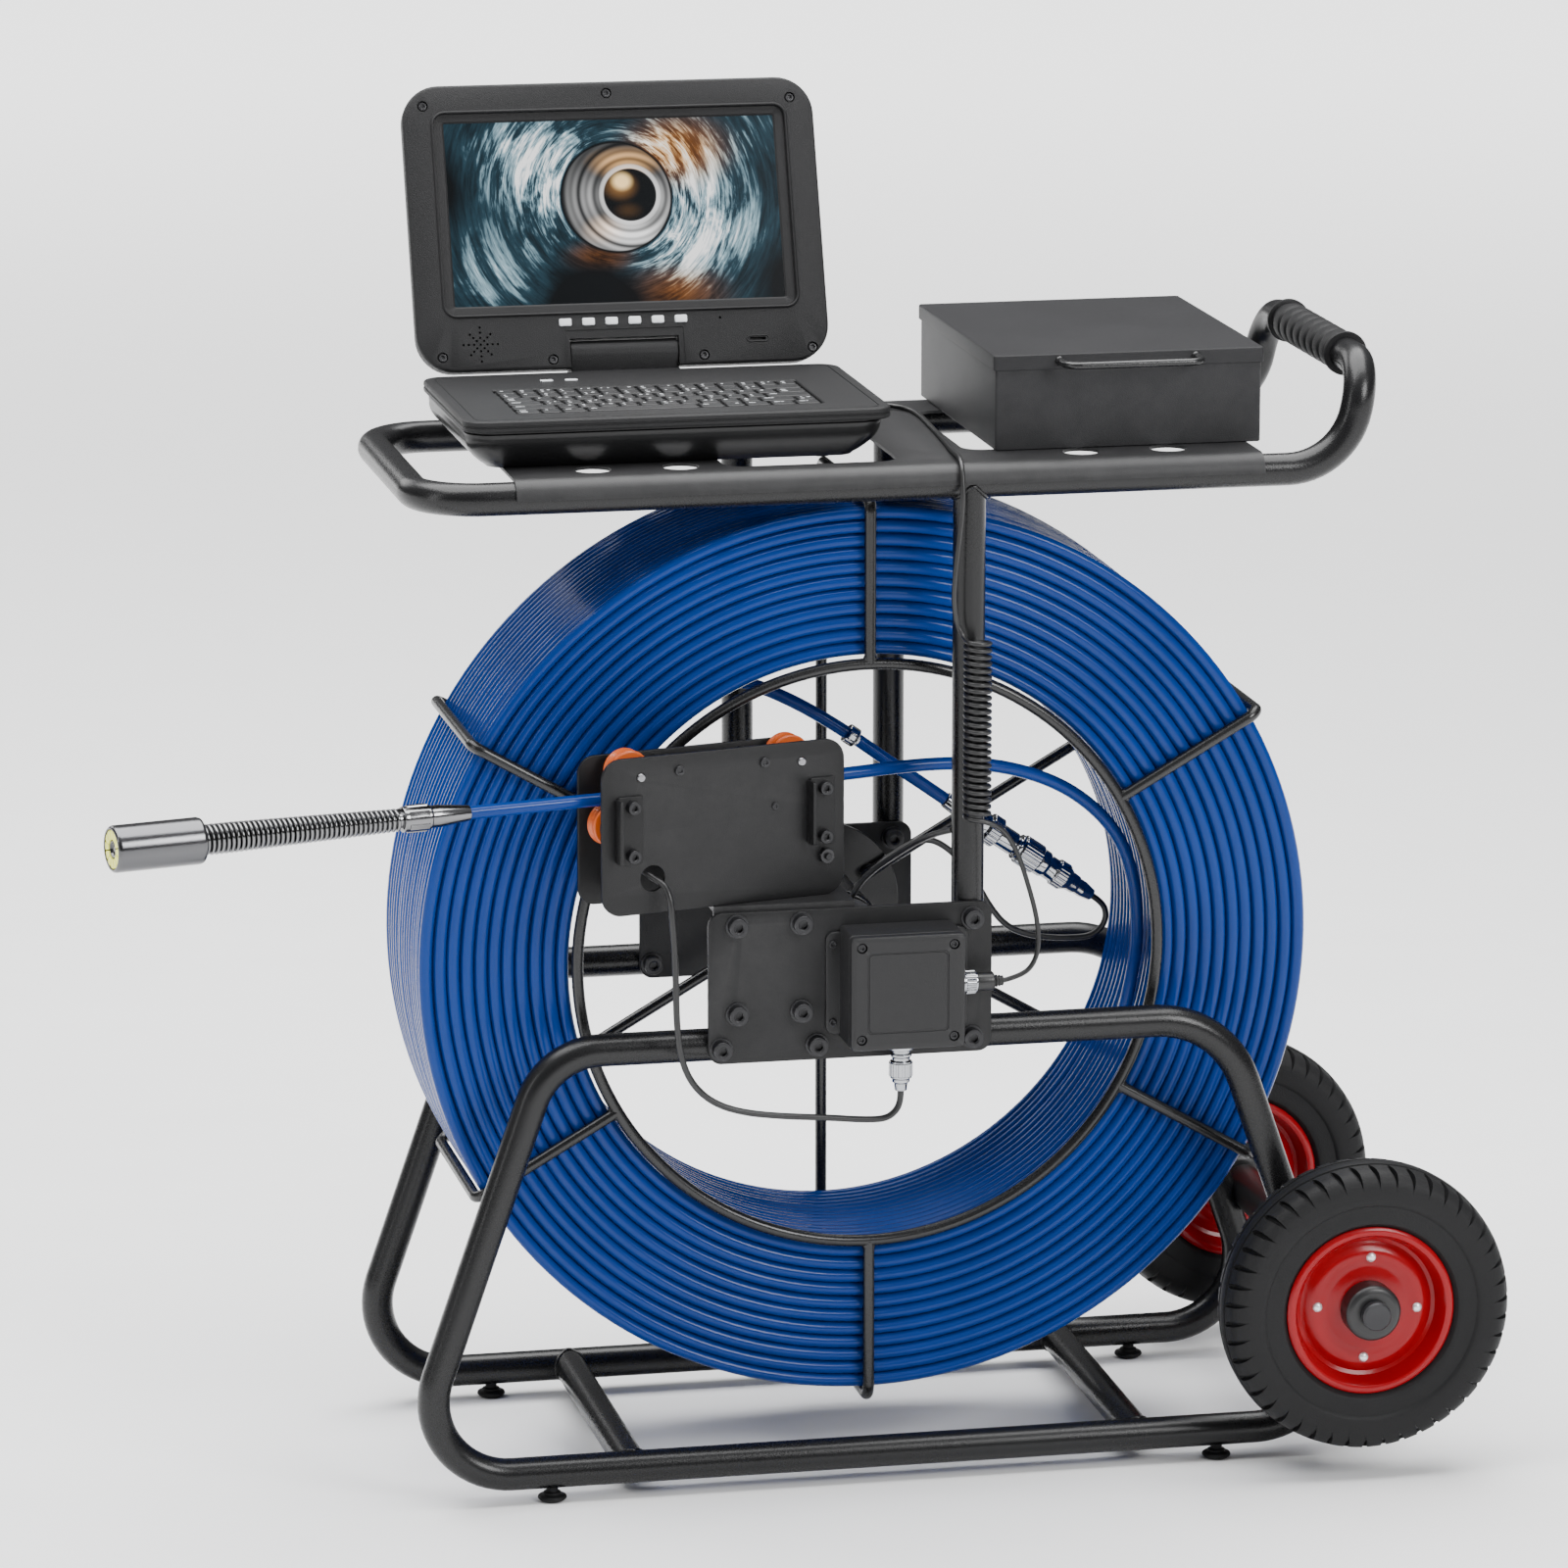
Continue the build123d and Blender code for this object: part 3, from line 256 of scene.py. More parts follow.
def display_material():
    """A lit picture of the inside of a wet pipe: streaks that run round a turned ring with a dark hole."""
    mat = bpy.data.materials.new("display_picture")
    mat.use_nodes = True
    tree = mat.node_tree
    shader = tree.nodes["Principled BSDF"]
    split = tree.nodes.new("ShaderNodeSeparateXYZ")
    tree.links.new(coordinates(tree), split.inputs[0])
    x, y, z = (Field(tree, o) for o in split.outputs)
    middle = S(0, VIEW_LOW + VIEW_H / 2, 0)
    half = VIEW_H * MM / 2
    u = (x - middle.x) / half
    v = ((y - middle.y) * sin(LEAN) + (z - middle.z) * cos(LEAN)) / half

    def from_point(cu, cv, ru=1.0, rv=1.0):
        du, dv = (u - cu) / ru, (v - cv) / rv
        return (du * du + dv * dv).op("SQRT")

    def spots(*shapes):
        """Soft ellipses (u, v, half width, half height, brightness), added up."""
        total = from_point(*shapes[0][:4]).step(1.0, 0.0) * shapes[0][4]
        for shape in shapes[1:]:
            total = total + from_point(*shape[:4]).step(1.0, 0.0) * shape[4]
        return total

    radius = from_point(0.03, 0.15).op("MAXIMUM", 0.01)
    near_e = 2.718
    depth = radius.op("LOGARITHM", near_e)
    turn = (v - 0.15).op("ARCTAN2", u - 0.03) + depth * 0.3

    def around(spread, stretch, scale, detail, distort):
        join = tree.nodes.new("ShaderNodeCombineXYZ")
        tree.links.new((turn.op("COSINE") * spread).socket, join.inputs[0])
        tree.links.new((turn.op("SINE") * spread).socket, join.inputs[1])
        tree.links.new((depth * stretch).socket, join.inputs[2])
        return noise(tree, join.outputs[0], scale, detail, 0.64, distort)

    streak = around(1.0, 3.6, 1.9, 9.0, 0.8) * 0.6 + around(1.5, 20.0, 2.2, 6.0, 0.4) * 0.4
    glow = spots((-0.9, 0.6, 0.95, 0.75, 1.0), (-0.7, 0.1, 0.6, 0.8, 0.5), (0.6, 0.62, 0.85, 0.7, 0.9),
                 (1.0, -0.15, 0.9, 0.8, 0.9), (0.55, -0.5, 0.75, 0.5, 0.7), (-1.4, -0.7, 0.9, 0.7, 0.4),
                 (1.4, 0.75, 0.5, 0.55, 0.5), (-0.3, -1.1, 1.1, 0.95, -0.75), (-1.9, 0.3, 0.6, 0.8, -0.5),
                 (1.9, -0.9, 0.6, 0.9, -0.6)) + 0.42
    glow = glow.clamp(0.0, 1.5)
    ring = radius.step(0.6, 0.58)
    light = streak.step(0.36, 0.72) * glow * radius.step(0.6, 0.64) + glow * radius.step(0.6, 0.64) * 0.12
    warm = spots((0.72, 0.66, 0.8, 0.55, 1.2), (0.6, -0.95, 0.8, 0.45, 1.0), (-0.2, -0.5, 0.5, 0.25, 1.0))
    cold = ramp(tree, light, [(0.0, (0.0, 0.001, 0.002)), (0.3, (0.013, 0.04, 0.058)),
                              (0.6, (0.27, 0.42, 0.49)), (0.95, (1.0, 1.0, 1.0))])
    amber = ramp(tree, light, [(0.0, (0.001, 0, 0)), (0.3, (0.16, 0.055, 0.012)), (0.6, (0.72, 0.42, 0.18)),
                               (0.95, (1.0, 0.93, 0.8))])
    blend = tree.nodes.new("ShaderNodeMixRGB")
    tree.links.new(warm.clamp(0.0, 1.0).socket, blend.inputs["Fac"])
    tree.links.new(cold, blend.inputs[1])
    tree.links.new(amber, blend.inputs[2])

    hole = from_point(0.18, 0.17)
    wall = hole.step(0.28, 0.3) * ring
    lathe = (hole * 75.0).op("SINE") * 0.28 + (hole * 31.0).op("SINE") * 0.25 + 0.6
    steel = spots((0.15, -0.26, 0.6, 0.3, 1.1), (-0.32, 0.1, 0.3, 0.5, 0.3),
                  (0.5, 0.1, 0.2, 0.4, 0.5)) + 0.06
    steel = steel * lathe * wall + hole.step(0.35, 0.32) * wall * 0.5
    bronze = spots((0.15, 0.52, 0.5, 0.22, 0.9), (-0.12, -0.2, 0.3, 0.2, 0.5)) * lathe * wall
    lamp = spots((0.1, 0.32, 0.15, 0.13, 1.6))
    halo = spots((0.08, 0.27, 0.24, 0.2, 0.5)) + spots((0.15, 0.0, 0.2, 0.12, 0.1))
    total = blend.outputs["Color"]
    for field, colour in ((steel, (1.0, 1.0, 1.0)), (bronze, (0.95, 0.5, 0.16)), (lamp, (1.0, 0.72, 0.32)),
                          (halo, (0.42, 0.2, 0.06))):
        add = tree.nodes.new("ShaderNodeMixRGB")
        add.blend_type = "ADD"
        add.inputs["Fac"].default_value = 1.0
        tree.links.new(total, add.inputs[1])
        tree.links.new(ramp(tree, field, [(0.0, (0, 0, 0)), (1.0, colour)]), add.inputs[2])
        total = add.outputs["Color"]
    shader.inputs["Base Color"].default_value = (0.002, 0.002, 0.002, 1)
    shader.inputs["Roughness"].default_value = 0.16
    shader.inputs["Specular IOR Level"].default_value = 0.25
    tree.links.new(total, shader.inputs["Emission Color"])
    shader.inputs["Emission Strength"].default_value = 1.5
    return mat


PICTURE = display_material()

# ---------------------------------------------------------------- geometry helpers

SHARP = 32


def shade(mesh, sharp):
    """Smooth shading, with edges kept sharp above an angle in degrees."""
    for face in mesh.polygons:
        face.use_smooth = True
    mesh.set_sharp_from_angle(angle=radians(sharp))


def piece(name, build, material, body, replaces=(), sharp=SHARP):
    """Makes the mesh that build(bm) fills in, as a piece of the object that rides on a body."""
    mesh = mesh_of(name, build)
    shade(mesh, sharp)
    obj = bpy.data.objects.new(name, mesh)
    mesh.materials.append(material)
    bpy.context.scene.collection.objects.link(obj)
    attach(obj, body)
    if replaces:
        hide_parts(*([replaces] if isinstance(replaces, str) else replaces))
    return obj


def mesh_of(name, build):
    """A mesh that build(bm) fills in."""
    bm = bmesh.new()
    build(bm)
    bmesh.ops.remove_doubles(bm, verts=bm.verts, dist=1e-7)
    bmesh.ops.recalc_face_normals(bm, faces=bm.faces)
    mesh = bpy.data.meshes.new(name)
    bm.to_mesh(mesh)
    bm.free()
    return mesh


def skin(bm, rings, closed_ring=True, closed_path=False, caps=True):
    """Faces between rings of points."""
    rows = [[bm.verts.new(p) for p in ring] for ring in rings]
    count, n = len(rows), len(rows[0])
    for i in range(count if closed_path else count - 1):
        a, b = rows[i], rows[(i + 1) % count]
        for j in range(n if closed_ring else n - 1):
            k = (j + 1) % n
            bm.faces.new((a[j], a[k], b[k], b[j]))
    if caps and not closed_path:
        bm.faces.new(rows[0])
        bm.faces.new(list(reversed(rows[-1])))
    return rows


def bent(points, radii, closed=False, step=0.1):
    """Points of a bent tube's centre line: straight runs and round bends."""
    n = len(points)
    if isinstance(radii, (int, float)):
        radii = [radii] * n
    path = []
    for i, corner in enumerate(points):
        if not closed and i in (0, n - 1):
            path.append(corner.copy())
            continue
        back = (points[i - 1] - corner).normalized()
        on = (points[(i + 1) % n] - corner).normalized()
        turn = pi - back.angle(on)
        centre = corner + (back + on).normalized() * (radii[i] * MM / cos(turn / 2))
        count = max(3, int(turn / step))
        first = corner + back * (radii[i] * MM * tan(turn / 2)) - centre
        axis = back.cross(first)
        for k in range(count + 1):
            path.append(centre + Matrix.Rotation(turn * k / count, 3, axis) @ first)
    return path


def sweep_rings(path, radius, sides=28, closed=False):
    """Circles along a path, without twist."""
    n = len(path)
    tangents = []
    for i in range(n):
        a = path[i - 1] if closed or i else path[0]
        b = path[(i + 1) % n] if closed or i < n - 1 else path[-1]
        tangents.append((b - a).normalized())
    side = tangents[0].orthogonal().normalized()
    sides_out = []
    for t in tangents:
        side = (side - t * side.dot(t)).normalized()
        sides_out.append(side.copy())
    twist = 0.0
    if closed:
        t, a, b = tangents[0], sides_out[0], sides_out[-1]
        b = (b - t * b.dot(t)).normalized()
        twist = atan2(b.cross(a).dot(t), a.dot(b))
    rings = []
    for i, (p, t, s) in enumerate(zip(path, tangents, sides_out)):
        s = Matrix.Rotation(twist * i / n, 3, t) @ s
        other = t.cross(s)
        r = (radius[i] if isinstance(radius, list) else radius) * MM
        rings.append([p + (s * cos(2 * pi * k / sides) + other * sin(2 * pi * k / sides)) * r
                      for k in range(sides)])
    return rings


def rod(bm, path, radius, sides=28, closed=False):
    """A round rod along a path; radius is a number or one number for each point."""
    skin(bm, sweep_rings(path, radius, sides, closed), closed_path=closed)


def axes(origin, direction, reference=None):
    """A matrix whose Z runs along direction."""
    z = Vector(direction).normalized()
    x = Vector(reference) if reference is not None else z.orthogonal()
    x = (x - z * x.dot(z)).normalized()
    y = z.cross(x)
    m = Matrix((x, y, z)).transposed().to_4x4()
    m.translation = origin
    return m


def polar(place, r, angle, h):
    """The point at a radius, an angle and a height in millimetres about place's Z."""
    return place @ Vector((r * MM * cos(angle), r * MM * sin(angle), h * MM))


def spin(bm, outline, place, n=64, closed=False):
    """A turned shape from (radius, height) points in millimetres about place's Z."""
    rings = [[polar(place, max(r, 0.0), 2 * pi * k / n, h) for k in range(n)] for r, h in outline]
    rows = [[bm.verts.new(p) for p in ring] if outline[i][0] > 1e-6 else [bm.verts.new(ring[0])] * n
            for i, ring in enumerate(rings)]
    count = len(rows)
    for i in range(count if closed else count - 1):
        a, b = rows[i], rows[(i + 1) % count]
        for j in range(n):
            k = (j + 1) % n
            corner = []
            for v in (a[j], a[k], b[k], b[j]):
                if v not in corner:
                    corner.append(v)
            if len(corner) > 2:
                bm.faces.new(corner)


def soften(outline, r=0.6, steps=3):
    """Rounds the corners of a turned outline."""
    out = []
    n = len(outline)
    for i, (x, y) in enumerate(outline):
        if i in (0, n - 1) or x < 1e-6:
            out.append((x, y))
            continue
        p, a, b = Vector((x, y)), Vector(outline[i - 1]), Vector(outline[i + 1])
        la, lb = (a - p).length, (b - p).length
        c = min(r, la * 0.45, lb * 0.45)
        start, end = p + (a - p) / la * c, p + (b - p) / lb * c
        for k in range(steps + 1):
            t = k / steps
            q = start * (1 - t) ** 2 + p * 2 * t * (1 - t) + end * t ** 2
            out.append((q.x, q.y))
    return out


def rounded(w, h, r, arc=8):
    """Points of a rounded rectangle about its middle, in millimetres."""
    r = max(0.01, min(r, w / 2 - 0.01, h / 2 - 0.01))
    out = []
    for cx, cy, start in ((w / 2 - r, h / 2 - r, 0), (-w / 2 + r, h / 2 - r, 1),
                          (-w / 2 + r, -h / 2 + r, 2), (w / 2 - r, -h / 2 + r, 3)):
        for k in range(arc + 1):
            a = (start + k / arc) * pi / 2
            out.append((cx + r * cos(a), cy + r * sin(a)))
    return out


def layers(bm, steps, place, arc=8, caps=True, closed_path=False):
    """A shell through rounded rectangles (cx, cy, w, h, corner, height), each put in by place(x, y, z)."""
    rings = []
    for cx, cy, w, h, r, z in steps:
        rings.append([place(cx + x, cy + y, z) for x, y in rounded(w, h, r, arc)])
    skin(bm, rings, caps=caps, closed_path=closed_path)


def stack(cx, cy, w, h, steps):
    """Layers about one middle, each given as (how much smaller, corner, height)."""
    return [(cx, cy, w - less, h - less, r, z) for less, r, z in steps]


def pad_steps(cx, cy, w, h, r, z0, z1, edge=1.0, steps=3):
    """Layers of a block with rounded edges."""
    out = []
    for k in range(steps + 1):
        a = k / steps * pi / 2
        inset = edge * (1 - sin(a))
        out.append((cx, cy, w - 2 * inset, h - 2 * inset, r - inset, z0 + edge * (1 - cos(a))))
    for k in range(steps + 1):
        a = k / steps * pi / 2
        inset = edge * (1 - cos(a))
        out.append((cx, cy, w - 2 * inset, h - 2 * inset, r - inset, z1 - edge * (1 - sin(a))))
    return out


def socket_screw(bm, origin, direction, r=6.5, h=7.5, n=32):
    """A socket-head screw: round head with a hexagonal recess."""
    place = axes(origin, direction)
    outline = soften([(r, 0), (r, h), (r * 0.56, h), (r * 0.5, h - 0.4)], 0.7)
    spin(bm, outline, place, n)
    hexa, floor, wall = [], [], []
    for k in range(n):
        a = 2 * pi * k / n
        sector = a % (pi / 3) - pi / 6
        rr = r * 0.5 * min(1.0, 0.9 * cos(pi / 6) / cos(sector) + 0.04)
        wall.append(polar(place, rr, a, h - 0.5))
        floor.append(polar(place, rr, a, h * 0.45))
        hexa.append(polar(place, r * 0.5, a, h - 0.4))
    skin(bm, [hexa, wall, floor], caps=False)
    centre = bm.verts.new(place @ Vector((0, 0, h * 0.4 * MM)))
    ring = [bm.verts.new(p) for p in floor]
    for k in range(n):
        bm.faces.new((ring[k], ring[(k + 1) % n], centre))


def cut(obj, *cutters):
    """Takes cutter meshes out of a piece and applies it."""
    for mesh in cutters:
        tool = bpy.data.objects.new("cutter", mesh)
        bpy.context.scene.collection.objects.link(tool)
        mod = obj.modifiers.new("cut", "BOOLEAN")
        mod.operation, mod.solver, mod.object = "DIFFERENCE", "EXACT", tool
        bpy.context.view_layer.update()
        result = bpy.data.meshes.new_from_object(obj.evaluated_get(bpy.context.evaluated_depsgraph_get()))
        obj.modifiers.clear()
        old = obj.data
        obj.data = result
        bpy.data.objects.remove(tool)
        bpy.data.meshes.remove(old)
    shade(obj.data, SHARP)
    return obj


# ---------------------------------------------------------------- cords

def nurbs(name, points):
    """Curve data that holds one open NURBS spline steered by the route's control points."""
    data = bpy.data.curves.new(name, "CURVE")
    data.dimensions = "3D"
    spline = data.splines.new("NURBS")
    spline.points.add(len(points) - 1)
    for q, p in zip(spline.points, points):
        q.co = (*p, 1)
    spline.order_u = 3
    spline.use_endpoint_u = True
    spline.resolution_u = 8
    return data


def spline_curve(name, points, radius, material, body, replaces):
    """A cord: a spline along its route, with a round section."""
    data = nurbs(name, points)
    data.bevel_depth = radius * MM
    data.bevel_resolution = 6
    data.use_fill_caps = True
    data.materials.append(material)
    obj = bpy.data.objects.new(name, data)
    bpy.context.scene.collection.objects.link(obj)
    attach(obj, body)
    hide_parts(*replaces)
    return obj


def line_of(points):
    """The smooth line of a route's NURBS spline, as points."""
    obj = bpy.data.objects.new("line", nurbs("line", points))
    mesh = bpy.data.meshes.new_from_object(obj)
    out = []
    for v in mesh.vertices:
        if not out or (v.co - out[-1]).length > 0.05 * MM:
            out.append(v.co.copy())
    bpy.data.objects.remove(obj)
    bpy.data.meshes.remove(mesh)
    return out


PUSH_ROUTE = [
    G(-190, CABLE_DEPTH, CABLE_Z), G(-120, CABLE_DEPTH, CABLE_Z), G(-50, CABLE_DEPTH, 484.0),
    G(20, CABLE_DEPTH, 484.25), G(92, CABLE_DEPTH, CABLE_Z), P(40, -68, 486), P(88, -58, 481),
    P(131, -50, 466), P(161, -45, 445), P(180.5, -42, 421), P(190.5, -40, 393), P(194, -38, 362),
    P(193, -36, 330), P(186, -35, 299),
]
TAIL_ROUTE = [
    P(-118, 32, 520), P(-93, 31, 531), P(-64, 30, 526), P(-32, 30, 511), P(0, 30, 491), P(34, 30, 466),
    P(57, 30, 449.8), P(73.5, 30, 437.8),
]
SIGNAL_ROUTE = [
    P(178.9, 30, 364), P(186.8, 30.5, 358.5), P(190, 31.5, 349.4), P(187.2, 33, 340.2),
    P(179.5, 34.5, 334.2), P(168.2, 35.5, 333.2), P(152, 36, 333.8), P(134.5, 35, 337), P(119, 34, 344),
    P(108, 33, 357), P(99, 32, 373), P(88, 31, 390), P(76, 30, 403), P(62, 28, 411), P(47, 26, 408),
    P(32, 24, 399), P(18, 22, 389), P(8, 20, 380.5),
]
STATOR_ROUTE = [
    P(-3.5, -16, 379.8), P(-1, -20, 389), P(6, -30, 402), P(18, -48, 417), P(30, -70, 432),
    P(40, -93, 443.5), P(45.9, -112.5, 449.4),
]
ENCODER_ROUTE = [
    G(-70, 9, 455), G(-67, 9.5, 446), G(-62, 7, 438), G(-57, 0, 433.5), G(-52, -9, 430),
    G(-50, -14.5, 420.8), P(-154.6, -155, 408), P(-153.2, -155, 390), P(-152.5, -156, 366),
    P(-152, -156, 335), P(-149, -156, 311), P(-141, -155, 293), P(-127, -155, 280), P(-107, -155, 272.5),
    P(-80, -155, 268.5), P(-50, -155, 266), P(-26, -155, 263.2), P(-10.4, -155, 262.7),
    P(-3.2, -155, 266.8), P(0.9, -155, 274), P(0.9, -155, 282.3),
]
LEAD_TOP_ROUTE = [
    P(-2.3, 70, 716), P(7, 73, 715), P(18, 78, 713), P(30, 84, 708.6), P(42, 90, 704.5), P(52, 88, 703.4),
    P(58, 78, 703.3), P(60, 60, 703.3), P(59, 34, 703.3), P(57, 4, 703.3), P(55, -28, 703.3),
    P(52, -62, 703.3), P(49, -94, 703.6), P(47, -120, 705.5), P(46, -134, 701), P(45.5, -139, 688),
    P(44.5, -140, 668), P(41.5, -141, 645), P(39, -142, 622), P(39.5, -140.5, 606), P(42, -138.8, 595),
    P(45.3, -141.2, 588.3),
]
LEAD_LOW_ROUTE = [
    P(64, -154, 461.5), P(71.5, -152, 456.5), P(77.5, -151, 448), P(83, -151, 436.5), P(89, -152, 417),
    P(94, -153, 398), P(96, -154, 380), P(93, -155, 366), P(84.5, -155, 357), P(71.2, -155, 354.3),
]


def curl():
    """Control points of the lead's coiled middle: a helix of 26 and a quarter turns down its axis."""
    turns, per_turn, radius = 26, 12, 8.0
    reach = radius / cos(pi / per_turn)
    top, bottom = 587.0 - LEAD_R, 462.5 + LEAD_R
    out = []
    total = turns * per_turn + per_turn // 4
    for i in range(total + 1):
        a = pi * 1.05 + 2 * pi * i / per_turn
        out.append(P(54.5 + reach * cos(a), -146 + reach * sin(a), top + (bottom - top) * i / total))
    return out


def cords():
    """Every cable, with its plug or connector."""
    push = spline_curve("push_cable_line", PUSH_ROUTE, CABLE_R, CABLE_BLUE, "cart",
                        ["push_cable"])
    tail = spline_curve("tail_line", TAIL_ROUTE, CABLE_R, CABLE_BLUE, "reel", ["tail_cable"])
    joint = connector()
    clamp = ring_clamp()
    signal = spline_curve("signal_line", SIGNAL_ROUTE, SIGNAL_R, LEAD_BLACK, "reel",
                          ["signal_cable"])
    stator = spline_curve("stator_line", STATOR_ROUTE, SIGNAL_R, LEAD_BLACK, "cart",
                          ["stator_cable"])
    encoder = spline_curve("encoder_line", ENCODER_ROUTE, SIGNAL_R, LEAD_BLACK, "cart",
                           ["encoder_cable"])
    encoder_plug()
    line = line_of(LEAD_TOP_ROUTE + curl() + LEAD_LOW_ROUTE)
    lead = piece("monitor_lead_line", lambda bm: rod(bm, line, LEAD_R, 10),
                 LEAD_BLACK, "cart", ["monitor_lead", "curly_lead"], 60)
    lead_plug()


def knurl(bm, place, r, h0, h1, teeth, depth=0.35):
    """A band of fine ridges along the axis."""
    n = teeth * 4
    rings = []
    for h, inset in ((h0, depth), (h0 + 0.4, 0), (h1 - 0.4, 0), (h1, depth)):
        ring = []
        for k in range(n):
            rr = r - inset - (depth if k % 4 in (2, 3) else 0)
            a = 2 * pi * k / n
            ring.append(polar(place, rr, a, h))
        rings.append(ring)
    skin(bm, rings)


def connector():
    """The long screw connector between the tail cable and the signal cable."""
    start, end = P(74, 30, 437.4), P(178.5, 30, 364.3)
    place = axes(start, end - start)
    length = (end - start).length / MM

    def build(bm):
        spin(bm, soften([(0, 0), (5.5, 0), (6.2, 9), (7.6, 12), (7.6, 16), (9, 16.5), (9, 26), (8.2, 27),
                         (8.2, 29), (9, 30), (9, 35), (7, 36), (7, 45), (8.3, 46), (8.3, 59), (7, 60),
                         (7, 62), (9.6, 62), (9.6, 64), (8.9, 65), (8.9, 80), (9.6, 81), (9.6, 86),
                         (8.4, 88), (8.4, 94), (9.2, 95), (9.2, 104), (7, 108), (6.6, length - 14),
                         (5.8, length - 13), (5.8, length - 8), (4.6, length - 2), (4.2, length),
                         (0, length)], 0.5), place, 48)
        knurl(bm, place, 11, 36.5, 45, 30)
        knurl(bm, place, 10.8, 65, 80, 30)
        knurl(bm, place, 9.9, 95.5, 103.5, 26)
    return piece("tail_connector_shell", build, CHROME, "reel",
                 "tail_connector")


def ring_clamp():
    """A bright clamp round the tail cable."""
    line = line_of(TAIL_ROUTE)
    where = min(range(len(line)), key=lambda i: (line[i] - P(7, 30, 487)).length)
    place = axes(line[where], line[where + 1] - line[where], (0, 1, 0))

    def build(bm):
        spin(bm, soften([(4.6, -4), (7, -4), (7, 4), (4.6, 4)], 0.8), place, 40, closed=True)
        for side in (-1, 1):
            for along in (-2.4, 2.4):
                hub = place @ Vector((side * 8.6 * MM, 0, along * MM))
                spin(bm, soften([(0, -3), (1.9, -3), (1.9, 3), (0, 3)], 0.5),
                     axes(hub, place.to_3x3().col[1]), 16)
            layers(bm, pad_steps(side * 8.6, 0, 5, 8, 0.5, -2.4 - 1.8, 4.2, 0.4),
                   lambda x, y, z: place @ Vector((x * MM, y * 0.45 * MM, z * MM)), arc=2)
    return piece("tail_clamp", build, CHROME, "reel")


def encoder_plug():
    """The silver plug below the counter box."""
    place = axes(P(0.9, -155, 315.3), (0, 0, -1))

    def build(bm):
        spin(bm, soften([(0, 0), (8.4, 0), (8.4, 4.5), (6.4, 5), (6.4, 7), (7.4, 7.5), (7.4, 9), (6.2, 10),
                         (6.2, 12), (7.4, 12.6), (7.4, 24), (6, 25), (6, 27), (4.6, 28), (4, 33),
                         (2.2, 33.5), (0, 33.5)], 0.4), place, 48)
        knurl(bm, place, 8.1, 13.5, 23, 28)
    return piece("encoder_plug_shell", build, CHROME, "cart",
                 "counter_plugs")


def lead_plug():
    """Silver socket nut, black plug and a ribbed relief, on the counter box's right side."""
    place = axes(P(40.6, -155, 354.3), (1, 0, 0))

    def metal(bm):
        spin(bm, soften([(0, 0), (8.4, 0), (8.4, 3), (7.4, 3.4), (7.4, 11.8), (6, 12), (0, 12)], 0.4),
             place, 48)
        knurl(bm, place, 7.9, 4, 11, 26)

    def boot(bm):
        outline = [(0, 12), (6.4, 12), (6.4, 23), (5.2, 24)]
        for i in range(3):
            h = 24.4 + i * 2
            outline += [(3.2, h), (3.2, h + 0.6), (4.2 - i * 0.35, h + 0.8), (4.2 - i * 0.35, h + 1.6)]
        outline += [(2.4, 30.4), (1.8, 30.6), (0, 30.6)]
        spin(bm, soften(outline, 0.25), place, 40)
    nut = piece("lead_plug_nut", metal, CHROME, "cart")
    relief = piece("lead_plug_boot", boot, LEAD_BLACK, "cart")
    relief.parent = nut
    relief.matrix_parent_inverse = Matrix.Identity(4)
    return nut


cords()

# ---------------------------------------------------------------- reel

def reel(angle, radius, y):
    """A point about the reel's axle, from an angle in degrees, a radius and a depth."""
    a = radians(angle)
    return P(REEL_X + radius * cos(a), y, REEL_Z + radius * sin(a))


def windings():
    """The wound cable: a ring for each turn that shows, on a pack coloured in painted shade, darker than
    the cable, that closes the gaps behind them.
    """
    rng = random.Random(11)
    layers_n, columns, inset = 11, 16, 4.6
    first, last, edge = COIL_IN + inset, COIL_OUT - inset, COIL_HALF - inset
    rings = []
    for k in range(layers_n):
        radius = first + (last - first) * k / (layers_n - 1)
        rings += [(radius, -edge), (radius, edge)]
    for j in range(1, columns - 1):
        y = -edge + 2 * edge * j / (columns - 1)
        rings += [(first, y), (last, y)]

    def build(bm):
        segments = 164
        for radius, y in rings:
            waves = [(n, rng.uniform(0.05, 0.3) / n ** 0.5, rng.uniform(0, 2 * pi)) for n in (2, 3, 5, 8)]
            slips = [(n, rng.uniform(0.02, 0.16), rng.uniform(0, 2 * pi)) for n in (1, 3, 7)]
            path = []
            for i in range(segments):
                a = 360 * i / segments
                t = radians(a)
                dr = sum(c * sin(n * t + p) for n, c, p in waves)
                dy = sum(c * sin(n * t + p) for n, c, p in slips)
                path.append(reel(a, radius + dr, y + dy))
            rod(bm, path, CABLE_R, 12, closed=True)

    piece("cable_windings", build, CABLE_BLUE, "reel", "cable_coil", 60)
    inner, outer, half = first - 0.5, last + 0.5, edge + 0.4

    def pack(bm):
        place = axes(P(REEL_X, 0, REEL_Z), (0, 1, 0))
        spin(bm, [(inner, -half), (outer, -half), (outer, half), (inner, half)], place, 160, closed=True)
    # the pack carries painted shade: the cable behind the rings is drawn darker than the cable itself
    piece("windings_shade_pack", pack, CABLE_PAINTED_SHADE, "reel")


